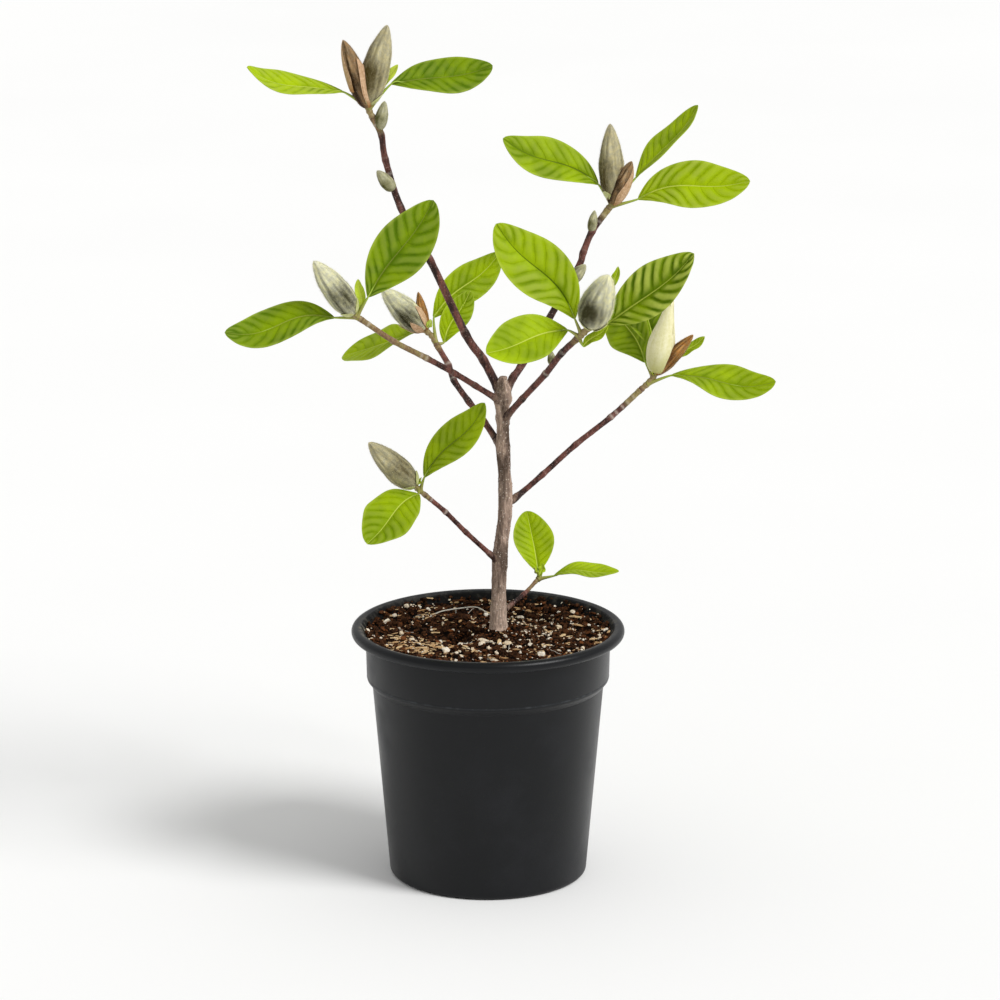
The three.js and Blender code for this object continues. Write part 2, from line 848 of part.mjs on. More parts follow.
const masses = [];
MASSES.forEach((mass, index) => {
  const bough = limbs.get(mass.bough);
  const otherLimbs = [...limbs.values()].filter((limb) => limb !== bough).map((limb) => limb.solid);
  const solid = massSolid(mass, index, bough, [trunk, ...otherLimbs, ...masses]);
  masses.push(solid);
  place(mass.name, geometryOf(solid), FINISHES.foliage);
});

export default magnolia;
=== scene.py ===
"""Dresses the potted magnolia: bark, leaves, furry buds, potting mix and pot.

The tables repeat the part's own sizes, in millimetres and degrees. Every mesh is made in
metres, in the part's frame: +Z is up and the front of the plant faces -Y. A heading is
measured round +Z from +X, and a rise up from the horizontal.
"""

import logging
import math
from bisect import bisect_right
from dataclasses import dataclass, field
from enum import Enum
from functools import reduce
from itertools import accumulate
from typing import Callable, Sequence

import bmesh
import bpy
import numpy as np
from mathutils import Matrix, Vector, geometry, noise

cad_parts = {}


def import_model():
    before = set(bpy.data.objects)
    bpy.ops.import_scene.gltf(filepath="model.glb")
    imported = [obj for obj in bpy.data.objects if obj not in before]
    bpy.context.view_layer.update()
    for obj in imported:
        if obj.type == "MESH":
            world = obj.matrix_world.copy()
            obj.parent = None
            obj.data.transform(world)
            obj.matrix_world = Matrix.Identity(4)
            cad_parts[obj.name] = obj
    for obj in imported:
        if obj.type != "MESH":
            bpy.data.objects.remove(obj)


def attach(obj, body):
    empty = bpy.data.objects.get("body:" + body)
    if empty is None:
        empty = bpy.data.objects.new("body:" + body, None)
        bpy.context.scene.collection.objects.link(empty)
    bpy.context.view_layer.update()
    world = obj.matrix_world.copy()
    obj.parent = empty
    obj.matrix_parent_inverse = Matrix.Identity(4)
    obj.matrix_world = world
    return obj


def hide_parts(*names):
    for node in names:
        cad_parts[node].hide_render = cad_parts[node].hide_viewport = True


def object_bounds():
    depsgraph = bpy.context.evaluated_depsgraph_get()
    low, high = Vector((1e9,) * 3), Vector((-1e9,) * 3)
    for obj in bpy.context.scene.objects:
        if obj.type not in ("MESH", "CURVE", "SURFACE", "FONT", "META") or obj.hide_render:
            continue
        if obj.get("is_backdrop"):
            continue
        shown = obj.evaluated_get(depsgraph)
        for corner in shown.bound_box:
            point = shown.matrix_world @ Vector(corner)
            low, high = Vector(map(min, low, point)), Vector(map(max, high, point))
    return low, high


BMesh = bmesh.types.BMesh
NodeSocket = bpy.types.NodeSocket

LOG = logging.getLogger("magnolia")
MM = 0.001
TAU = 2 * math.pi
WELD = 1e-7
SEED = 23
SIDE_SEED = 5000
# The gap between a bough's tip and its foliage's stem, and between the pot and its filling.
CLEARANCE = 0.3
# The distance between the cross-sections of a leaf stalk or a fibre.
STALK_STEP = 0.9 * MM
# The side veins of a blade: how many, how far they rake forward and how that bends them.
VEIN_COUNT = 9.0
VEIN_RAKE = 1.7
VEIN_BEND = 1.25


# ---------- sizes of the plant

class BudLook(Enum):
    """How a bud is covered."""

    SILVER = "silver fur over a dark core"
    TAUPE = "short taupe fur"
    BROWN = "brown skin with thin fur"
    HUSK = "orange-brown husk"
    CREAM = "cream petals about to open"
    SIDE = "small grey-green side bud"


class Husk(Enum):
    """What a scale that wraps a bud is made of."""

    GREEN = "fresh green-cream scale"
    TAN = "dry tan scale"
    BROWN = "dark brown scale"


@dataclass(frozen=True)
class Wrap:
    """A scale that wraps part of a bud; turns count from the front to the viewer's right."""

    turn: float
    span: float
    end: float
    husk: Husk = Husk.GREEN
    swell: float = 1.04
    start: float = 0.0


COLLAR = (Wrap(-50, 120, 0.15), Wrap(75, 110, 0.19, swell=1.07), Wrap(190, 120, 0.14))
TAN_COLLAR = (
    Wrap(-80, 70, 0.36, Husk.TAN), Wrap(-8, 44, 0.33, Husk.TAN, 1.09),
    Wrap(62, 70, 0.44, Husk.TAN, 1.05), Wrap(200, 120, 0.14),
)


@dataclass(frozen=True)
class PaintedFurShade:
    """A patch of painted shade on a bud's fur: its turn, its share of the length and its depth."""

    turn: float = -60
    share: float = 0.35
    depth: float = 0.3


@dataclass(frozen=True)
class Bud:
    """A bud, placed at a share of its stem or at a distance along its bough."""

    at: float
    heading: float
    rise: float
    length: float
    radius: float
    look: BudLook
    seam: float = 180.0
    wraps: Sequence[Wrap] = ()
    painted_shade: PaintedFurShade = PaintedFurShade()


@dataclass(frozen=True)
class Leaf:
    """One leaf: its sizes, its tone from fresh to dark, its rib from dark (painted shade in the
    midrib's groove) to pale, its pleats, which also set the painted light and shade between the
    veins.

    Its `petiole` is the stalk's length, heading and rise, and is empty where it has none.
    """

    at: float
    petiole: Sequence[float]
    heading: float
    rise: float
    length: float
    width: float
    roll: float = 0.0
    curl: float = 0.0
    fold: float = 0.0
    turn: float = 0.0
    twist: float = 0.0
    tone: float = 0.4
    rib: float = 1.0
    pleat: float = 0.4
    sway: float = 12.0


@dataclass(frozen=True)
class Bough:
    """One limb: where it leaves the trunk, its joints and the buds on it.

    Each joint is a length, a heading and a rise, and each scar a distance along the limb.
    """

    name: str
    height: float
    radius: float
    tip_radius: float
    joints: Sequence[Sequence[float]]
    buds: Sequence[Bud] = ()
    tan_from: float = 0.93
    scars: Sequence[float] = ()


@dataclass(frozen=True)
class Mass:
    """One mass of foliage: its stem, leaves and buds."""

    name: str
    bough: str
    stem: Sequence[float]
    leaves: Sequence[Leaf]
    buds: Sequence[Bud] = ()


@dataclass(frozen=True)
class PotSizes:
    """The nursery pot's sizes."""

    height: float = 155
    wall: float = 1.3
    floor: float = 2
    foot_radius: float = 57
    foot_corner: float = 3
    wall_top_radius: float = 70
    step_height: float = 119
    band_radius: float = 73.4
    band_height: float = 124
    band_draft: float = 0.6
    lip_under: float = 148.5
    lip_radius: float = 82.5
    mouth_radius: float = 76.7
    mouth_drop: float = 0.6
    throat_height: float = 149
    drain_holes: int = 6
    drain_radius: float = 4
    drain_circle: float = 42

    def wall_radius(self, height: float) -> float:
        """Gives the outer radius of the tapered wall at a height."""
        share = (height - self.foot_corner) / (self.step_height - self.foot_corner)
        return lerp(self.foot_radius + self.foot_corner, self.wall_top_radius, share)


POT = PotSizes()

# Points on the trunk's middle line, from its foot to its fork.
TRUNK_BENDS = ((6.2, 4, 150.2), (7.2, 4, 196), (10.6, 4, 229), (9, 4, 266), (9, 4.5, 308))

BOUGHS = (
    Bough(
        "bough_leader", 295, 2.7, 1.9,
        ((25, 161, 61), (19, 169, 55), (49, 169, 64), (36, 173, 61),
         (30, 166, 72), (15, 180, 81), (11, 180, 64)),
        (
            Bud(140, 190, 50, 16, 4.2, BudLook.SIDE),
            Bud(177, -20, 79, 18, 3.9, BudLook.SIDE),
        ),
        scars=(150, 181),
    ),
    Bough(
        "bough_back_right", 294, 2.4, 2,
        ((15, 48, 52), (11, 47, 41), (65, 42, 49), (14, 49, 57), (14, 36, 61), (16, 22, 51)),
        (
            Bud(47, 120, 60, 6, 2, BudLook.SIDE),
            Bud(84, -20, 50, 16, 4.2, BudLook.SIDE),
            Bud(118, 10, 82, 14, 3, BudLook.SIDE),
        ),
        scars=(126, 131),
    ),
    Bough(
        "bough_left", 292, 1.9, 1.7,
        ((24, 216, 33), (17, 211, 33), (22, 210, 31), (25, 208, 30), (25, 203, 36)),
        tan_from=0.52, scars=(63, 67, 108),
    ),
    Bough(
        "bough_front_right", 281, 2, 2,
        ((24, -49, 43), (27, -47, 43), (21, -50, 46), (17, -47, 40)),
        (Bud(60, 100, 66, 9, 2.5, BudLook.SIDE),), scars=(52, 74),
    ),
    Bough(
        "bough_back_left", 263, 2.1, 1.8,
        ((22, 133, 41), (17, 134, 37), (16, 137, 42), (11, 121, 51), (14, 132, 45)),
        scars=(56, 66),
    ),
    Bough(
        "bough_right", 230, 1.8, 1.8,
        ((8, 20, 26), (20, 15, 38), (27, 11, 41), (27, 10, 37), (24, 12, 41)),
        tan_from=0.86, scars=(82, 86, 91, 95, 100),
    ),
    Bough(
        "bough_low_left", 193, 1.6, 1.5,
        ((10, 218, 41), (25, 220, 42), (22, 220, 44), (20, 220, 40)), scars=(57, 72),
    ),
    Bough("shoot_basal", 160, 1.5, 1.2, ((23, 45, 22), (13, 48, 27)), tan_from=0.7),
)

MASSES = (
    Mass(
        "foliage_leader", "bough_leader", (9, 185, 68),
        (
            Leaf(
                0.8, (17, 192, 34), 200, 17, 63, 27, -20, -30, 6, 6, -14,
                tone=0.25, pleat=0.7, sway=9),
            Leaf(0.6, (21, -8, 49), 13, 8, 62, 27, 40, -12, 6, 0, 20, tone=0.85, rib=0.3, sway=6),
            Leaf(0.7, (13, -8, 53), 10, 57, 19, 5, 60, 30, 12, tone=-0.5, pleat=0.1),
        ),
        (
            Bud(0.9, -16, 75, 50, 8.3, BudLook.TAUPE, 150, COLLAR, PaintedFurShade(-35, 0.3, 0.55)),
            Bud(
                0.7, 199, 70, 44, 6.6, BudLook.BROWN, -25,
                (Wrap(48, 100, 0.74, Husk.TAN, 1.1), Wrap(-72, 95, 1.0, Husk.TAN, 1.02, 0.3)),
            ),
        ),
    ),
    Mass(
        "foliage_left", "bough_left", (8, 215, 45),
        (
            Leaf(
                0.3, (14, 189, 2), 189, -6, 66, 27, -38, 0, 6, 8, -16,
                tone=0.75, rib=0.5, sway=18),
            Leaf(
                0.4, (15, -30, 58), 12, 55, 68, 31, 78, -2, 12,
                tone=0.8, rib=0.3, pleat=0.5, sway=6),
            Leaf(0.6, (6, -13, 55), 180, 86, 17, 5, -80, 10, 10, tone=-0.4, pleat=0.1),
        ),
        (Bud(0.7, 197, 54, 41, 8, BudLook.SILVER, -22, COLLAR, PaintedFurShade(25, 0.3, 0.55)),),
    ),
    Mass(
        "foliage_back_left", "bough_back_left", (16, 150, 26),
        (
            Leaf(0.9, (8, 154, -20), 144, -22, 58, 30, -30, -4, 8, tone=0.25, sway=0),
            Leaf(0.12, (16, 102, 69), 31, 37, 59, 22, 64, 2, 10, tone=0.45),
            Leaf(0.05, (5, 14, 15), 40, 55, 36, 16, 55, 16, 14, tone=0.5),
        ),
        (
            Bud(0.85, 196, 46, 38, 8, BudLook.SILVER, -18, TAN_COLLAR, PaintedFurShade(-5, 0.38, 0.55)),
            Bud(0.75, 180, 79, 25, 3.6, BudLook.HUSK),
        ),
    ),
    Mass(
        "foliage_front_right", "bough_front_right", (16, -38, 46),
        (
            Leaf(0.3, (11, 206, 66), 184, 51, 74, 33, -72, 13, 8, tone=0.45, rib=0.0, pleat=0.75),
            Leaf(0.15, (10, 216, 31), 216, -6, 59, 30, -44, 6, 8, 6, tone=0.35, pleat=0.2, sway=8),
            Leaf(
                0.6, (13, 9, 15), -18, 41, 69, 29, 70, -16, 20, 0, -16,
                tone=0.75, pleat=1.7, sway=4),
            Leaf(0.1, (6, -20, -60), -14, 42, 20, 6, 60, 0, 14, tone=0.1),
            Leaf(0.7, (25, 13, 57), 6, 74, 16, 4, 70, 0, 12, tone=0.1),
        ),
        (Bud(0.85, -68, 53, 44, 10, BudLook.SILVER, 165, COLLAR, PaintedFurShade(-28, 0.4, 0.76)),),
    ),
    Mass(
        "foliage_back_right", "bough_back_right", (7, 18, 62),
        (
            Leaf(0.5, (15, 180, 57), 190, 27, 66, 28, -50, 0, 10, tone=0.5, rib=0.1),
            Leaf(0.4, (23, 21, 45), 21, 46, 58, 25, 4, -16, 16, tone=0.35, sway=6),
            Leaf(0.2, (18, -3, 17), -10, 11, 70, 31, 52, 18, 8, tone=0.3, pleat=0.8),
        ),
        (
            Bud(0.8, 130, 86, 47, 7.6, BudLook.TAUPE, 160, COLLAR, PaintedFurShade(-70, 0.3, 0.45)),
            Bud(
                0.5, -20, 65, 30, 5.7, BudLook.BROWN, -35,
                (Wrap(60, 130, 0.92, Husk.TAN, 1.05), Wrap(-80, 70, 0.8, Husk.BROWN, 1.03)),
            ),
        ),
    ),
    Mass(
        "foliage_right", "bough_right", (15, 20, 50),
        (
            Leaf(0.35, (16, -12, 23), -11, -1, 64, 27, 30, -20, 6, -4, 34, tone=0.4, rib=0.4),
            Leaf(0.7, (11, 128, 47), 118, 35, 53, 28, -60, 14, 12, tone=0.6),
            Leaf(0.95, (14, 103, 66), 98, 30, 48, 22, -20, 10, 20, tone=0.55),
            Leaf(0.9, (13, 6, 36), 9, 37, 24, 7, 40, 0, 16, tone=0.3),
        ),
        (
            Bud(0.9, -21, 79, 52, 8.2, BudLook.CREAM),
            Bud(0.85, -18, 48, 35, 4.8, BudLook.HUSK),
        ),
    ),
    Mass(
        "foliage_low_left", "bough_low_left", (12, 222, 48),
        (
            Leaf(0.4, (11, -58, 63), -13, 52, 60, 23, 62, -6, 12, tone=0.4, rib=0.2),
            Leaf(0.6, (6, -85, -15), 231, -24, 52, 31, -18, 22, 8, tone=0.45),
        ),
        (Bud(0.8, 194, 45, 40, 7.8, BudLook.TAUPE, 170, COLLAR, PaintedFurShade(30, 0.35, 0.18)),),
    ),
    Mass(
        "foliage_basal", "shoot_basal", (4, 34, 49),
        (
            Leaf(0.7, (4, 100, 45), 108, 56, 40, 24, -6, 16, 16, tone=0.3, sway=4),
            Leaf(0.5, (10, -12, 16), -16, 8, 42, 19, 10, 20, 8, tone=0.2),
        ),
    ),
)


# ---------- directions and curves

class Chance:
    """The part's own generator of seeded numbers from 0 to 1."""

    MULTIPLIER = 16807
    MODULUS = 2147483647

    def __init__(self, seed: int) -> None:
        """Starts from a seed."""
        self.state = seed

    def __call__(self) -> float:
        """Gives the next number."""
        self.state = self.state * self.MULTIPLIER % self.MODULUS
        return self.state / self.MODULUS


def lerp(low: float, high: float, share: float) -> float:
    """Gives the value at a share of the way from low to high."""
    return low + (high - low) * share


def ease(share: float) -> float:
    """Eases a share, held between 0 and 1, in and out."""
    held = min(1.0, max(0.0, share))
    return held * held * (3 - 2 * held)


def bell(away: float, width: float) -> float:
    """Gives a soft swell that is 1 in its middle and dies away over a width."""
    return math.exp(-(away / width) ** 2)


def turn_from(middle: float, turn: float) -> float:
    """Gives how far a turn lies from a middle, within half a turn, in radians."""
    return (turn - middle + math.pi) % TAU - math.pi


def direction(heading: float, rise: float) -> Vector:
    """Gives the unit vector of a heading and a rise in degrees."""
    flat, turn = math.cos(math.radians(rise)), math.radians(heading)
    return Vector((flat * math.cos(turn), flat * math.sin(turn), math.sin(math.radians(rise))))


def frame_along(heading: float, rise: float, roll: float = 0.0) -> tuple[Vector, Vector]:
    """Makes a frame that looks along a direction.

    Args:
        heading: Heading in degrees.
        rise: Rise in degrees.
        roll: How far the level side turns towards the upper face, in degrees.

    Returns:
        The directions to the side and out of the face.
    """
    level = direction(heading + 90, 0)
    above = direction(heading, rise).cross(level)
    cosine, sine = math.cos(math.radians(roll)), math.sin(math.radians(roll))
    return level * cosine + above * sine, above * cosine - level * sine


@dataclass
class Station:
    """One cross-section of a rod: its middle, its directions and its half-sizes."""

    point: Vector
    side: Vector
    face: Vector
    width: float = 0.0
    depth: float = 0.0


class Curve:
    """A smooth curve through points, walked by distance."""

    SAMPLES = 24
    HANDLE = 6
    TANGENT_STEPS = 200

    def __init__(self, points: Sequence[Vector]) -> None:
        """Samples the curve.

        Args:
            points: The points that the curve passes through.
        """
        ends = [2 * points[0] - points[1], *points, 2 * points[-1] - points[-2]]
        walk: list[Vector] = []
        for before, start, end, after in zip(ends, ends[1:], ends[2:], ends[3:]):
            leave = start + (end - before) / self.HANDLE
            arrive = end - (after - start) / self.HANDLE
            walk += geometry.interpolate_bezier(start, leave, arrive, end, self.SAMPLES)[:-1]
        self.walk = [*walk, points[-1].copy()]
        self.reach = [0.0]
        for first, second in zip(self.walk, self.walk[1:]):
            self.reach.append(self.reach[-1] + (second - first).length)
        self.length = self.reach[-1]

    def point(self, distance: float) -> Vector:
        """Gives the point at a distance, carried straight on past either end."""
        index = min(max(bisect_right(self.reach, distance) - 1, 0), len(self.walk) - 2)
        span = self.reach[index + 1] - self.reach[index]
        share = (distance - self.reach[index]) / span
        return self.walk[index] + (self.walk[index + 1] - self.walk[index]) * share

    def tangent(self, distance: float) -> Vector:
        """Gives the direction of the curve at a distance."""
        step = self.length / self.TANGENT_STEPS
        return (self.point(distance + step) - self.point(distance - step)).normalized()

    def stations(
        self, distances: Sequence[float], radius: Callable[[float], float],
    ) -> list[Station]:
        """Carries a frame along the curve without twisting it.

        Args:
            distances: Where the stations stand.
            radius: Gives the radius at a distance.

        Returns:
            One station for each distance.
        """
        side = self.tangent(distances[0]).orthogonal().normalized()
        stations = []
        for distance in distances:
            ahead = self.tangent(distance)
            side = (side - ahead * side.dot(ahead)).normalized()
            size = radius(distance)
            stations.append(Station(self.point(distance), side, ahead.cross(side), size, size))
        return stations


def spread(start: float, end: float, step: float) -> list[float]:
    """Gives distances from start to end, about a step apart."""
    count = max(2, round((end - start) / step))
    return [lerp(start, end, i / count) for i in range(count + 1)]


# ---------- mesh helpers

def new_mesh() -> BMesh:
    """Starts a mesh whose vertices carry the "mark" and "tint" attributes."""
    bm = bmesh.new()
    bm.verts.layers.float_vector.new("mark")
    bm.verts.layers.float_vector.new("tint")
    return bm


def written(name: str, bm: BMesh) -> bpy.types.Mesh:
    """Writes a mesh out under a name and frees it."""
    mesh = bpy.data.meshes.new(name)
    bm.to_mesh(mesh)
    bm.free()
    return mesh


def placed(name: str, data: bpy.types.ID) -> bpy.types.Object:
    """Puts a mesh, light or camera in the scene."""
    thing = bpy.data.objects.new(name, data)
    bpy.context.scene.collection.objects.link(thing)
    return thing


def rod(
    bm: BMesh,
    stations: Sequence[Station],
    sides: int,
    relief: Callable[[Vector, float, float], float] | None = None,
    mark: Callable[[float], Vector] | None = None,
) -> list[bmesh.types.BMVert]:
    """Rolls a grid into a closed rod along stations.

    Args:
        bm: The mesh that the rod is added to.
        stations: Cross-sections from foot to tip; both ends are closed to a point.
        sides: Faces round the rod.
        relief: Extra radius at a surface point, a turn and a share of the way along.
        mark: Gives the value of the "mark" attribute at a share of the way along.

    Returns:
        The rod's vertices.
    """
    layer = bm.verts.layers.float_vector.get("mark")
    first, last = (Station(end.point, end.side, end.face) for end in (stations[0], stations[-1]))
    closed = [first, *stations, last]
    steps = len(closed) - 1
    made = bmesh.ops.create_grid(bm, x_segments=sides, y_segments=steps, size=0.5)["verts"]
    for vert in made:
        turn = TAU * (vert.co.x + 0.5)
        row = round((vert.co.y + 0.5) * steps)
        station = closed[row]
        share = min(1.0, max(0.0, (row - 1) / (steps - 2)))
        cosine, sine = math.cos(turn), math.sin(turn)
        out = station.side * (cosine * station.width) + station.face * (sine * station.depth)
        vert.co = station.point + out
        if relief and 0 < row < steps:
            across = station.side * cosine + station.face * sine
            vert.co += across * relief(vert.co, turn, share)
        if mark:
            vert[layer] = mark(share)
    bmesh.ops.remove_doubles(bm, verts=made, dist=WELD)
    return [vert for vert in made if vert.is_valid]


def sheet_solid(
    bm: BMesh,
    rows: int,
    columns: int,
    place: Callable[[float, float], Vector],
    mark: Callable[[float, float], Vector],
    thickness: float,
) -> list[bmesh.types.BMFace]:
    """Bends a grid onto a surface and gives it a thickness.

    Args:
        bm: The mesh that the sheet is added to.
        rows: Faces along the sheet.
        columns: Faces across it.
        place: Gives the surface point at a share across (-1 to 1) and along (0 to 1).
        mark: Gives the value of the "mark" attribute at the same shares.
        thickness: Thickness in metres, laid on the surface's inner side.

    Returns:
        The faces of the finished sheet.
    """
    layer = bm.verts.layers.float_vector["mark"]
    made = bmesh.ops.create_grid(bm, x_segments=columns, y_segments=rows, size=0.5)["verts"]
    for vert in made:
        across, along = 2 * vert.co.x, vert.co.y + 0.5
        vert.co = place(across, along)
        vert[layer] = mark(across, along)
    bmesh.ops.remove_doubles(bm, verts=made, dist=WELD)
    kept = [vert for vert in made if vert.is_valid]
    faces = list({face for vert in kept for face in vert.link_faces})
    bmesh.ops.recalc_face_normals(bm, faces=faces)
    shell = bmesh.ops.solidify(bm, geom=faces, thickness=thickness)["geom"]
    skin = {item for item in shell if isinstance(item, bmesh.types.BMFace)} | set(faces)
    return [face for face in skin if face.is_valid]


def spun(section: Sequence[Sequence[float]], segments: int) -> BMesh:
    """Spins a section round the upright axis.

    Args:
        section: Its points, as radius and height in millimetres.
        segments: Faces round the axis.

    Returns:
        The new mesh, with its doubles merged.
    """
    bm = new_mesh()
    verts = [bm.verts.new((radius * MM, 0, height * MM)) for radius, height in section]
    edges = [bm.edges.new(pair) for pair in zip(verts, verts[1:])]
    bmesh.ops.spin(
        bm, geom=verts + edges, cent=(0, 0, 0), axis=(0, 0, 1), angle=TAU, steps=segments,
        use_merge=True)
    bmesh.ops.remove_doubles(bm, verts=bm.verts, dist=WELD)
    return bm


def scattered(
    name: str,
    shape: BMesh,
    places: np.ndarray,
    turns: np.ndarray,
    sizes: np.ndarray,
    shades: np.ndarray,
    smooth: bool = False,
) -> bpy.types.Mesh:
    """Joins many copies of one small shape into a mesh.

    Args:
        name: The mesh's name.
        shape: The shape, which is freed.
        places: Where each copy stands, one row each.
        turns: A 3 by 3 matrix for each copy.
        sizes: The three sizes of each copy.
        shades: A value from 0 to 1 for each copy, kept in the "mark" attribute.
        smooth: Whether the faces are shaded smooth.

    Returns:
        The joined mesh.
    """
    shape.verts.ensure_lookup_table()
    corners = np.array([vert.co[:] for vert in shape.verts])
    faces = np.array([[vert.index for vert in face.verts] for face in shape.faces])
    shape.free()
    count, size = len(places), len(corners)
    points = np.einsum("nij,nvj->nvi", turns, corners[None] * sizes[:, None]) + places[:, None]
    copied = (faces + np.arange(count)[:, None, None] * size).reshape(-1, faces.shape[1])
    mesh = bpy.data.meshes.new(name)
    mesh.from_pydata(points.reshape(-1, 3).tolist(), [], copied.tolist())
    mark = mesh.attributes.new("mark", "FLOAT_VECTOR", "POINT")
    shade, along = np.repeat(shades, size), np.tile(corners[:, 2], count)
    mark.data.foreach_set("vector", np.stack([shade, along, shade], axis=1).ravel())
    mesh.polygons.foreach_set("use_smooth", [smooth] * len(mesh.polygons))
    mesh.update()
    return mesh


def random_turns(rng: np.random.Generator, count: int, tilt: float) -> np.ndarray:
    """Makes turning matrices: a turn round Z and a tilt round a level axis.

    Args:
        rng: The generator of numbers.
        count: How many matrices are made.
        tilt: The largest tilt in radians.

    Returns:
        An array of 3 by 3 matrices.
    """
    spin = rng.uniform(0, TAU, count)
    lean = rng.uniform(-tilt, tilt, count)
    cos_a, sin_a, cos_b, sin_b = np.cos(spin), np.sin(spin), np.cos(lean), np.sin(lean)
    zero, one = np.zeros(count), np.ones(count)
    about_z = np.array([[cos_a, -sin_a, zero], [sin_a, cos_a, zero], [zero, zero, one]])
    about_x = np.array([[one, zero, zero], [zero, cos_b, -sin_b], [zero, sin_b, cos_b]])
    return np.einsum("ijn,jkn->nik", about_z, about_x)


def dressed(
    name: str,
    mesh: bpy.types.Mesh,
    finishes: Sequence["Finish"],
    slot: str,
    nodes: Sequence[str] = (),
) -> bpy.types.Object:
    """Puts a mesh in the scene with its finishes, as a piece of the plant.

    Args:
        name: The piece's name.
        mesh: Its mesh.
        finishes: Its finishes, in the order of its material slots.
        slot: Not used.
        nodes: The part's nodes that it stands for.

    Returns:
        The new object.
    """
    piece = placed(name, mesh)
    for finish in finishes:
        mesh.materials.append(finish.material())
    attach(piece, "root")
    if nodes:
        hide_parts(*nodes)
    LOG.info("%s: %d faces", name, len(mesh.polygons))
    return piece


def finished(
    name: str,
    bm: BMesh,
    finishes: Sequence["Finish"],
    slot: str,
    nodes: Sequence[str] = (),
    crease: float = 180.0,
) -> bpy.types.Object:
    """Smooths a mesh, which is freed, points its faces outwards and dresses it.

    Args and Returns: see dressed. Edges bent by more than `crease` degrees stay sharp.
    """
    bmesh.ops.recalc_face_normals(bm, faces=bm.faces)
    for face in bm.faces:
        face.smooth = True
    mesh = written(name, bm)
    mesh.set_sharp_from_angle(angle=math.radians(crease))
    return dressed(name, mesh, finishes, slot, nodes)


# ---------- shader helpers

def colour(code: str) -> tuple[float, float, float, float]:
    """Turns a hex colour into the linear values that shaders take."""
    values = [int(code[i:i + 2], 16) / 255 for i in (1, 3, 5)]
    linear = [v / 12.92 if v <= 0.04045 else ((v + 0.055) / 1.055) ** 2.4 for v in values]
    return linear[0], linear[1], linear[2], 1.0


@dataclass(frozen=True)
class Patches:
    """How a mottle looks: its scale, its detail and the limits that its noise is cut at."""

    scale: float
    detail: float
    low: float = 0.3
    high: float = 0.7


@dataclass(frozen=True)
class Spots:
    """How freckles look: the scale of their cells, their size and the share that shows."""

    scale: float
    size: float
    share: float


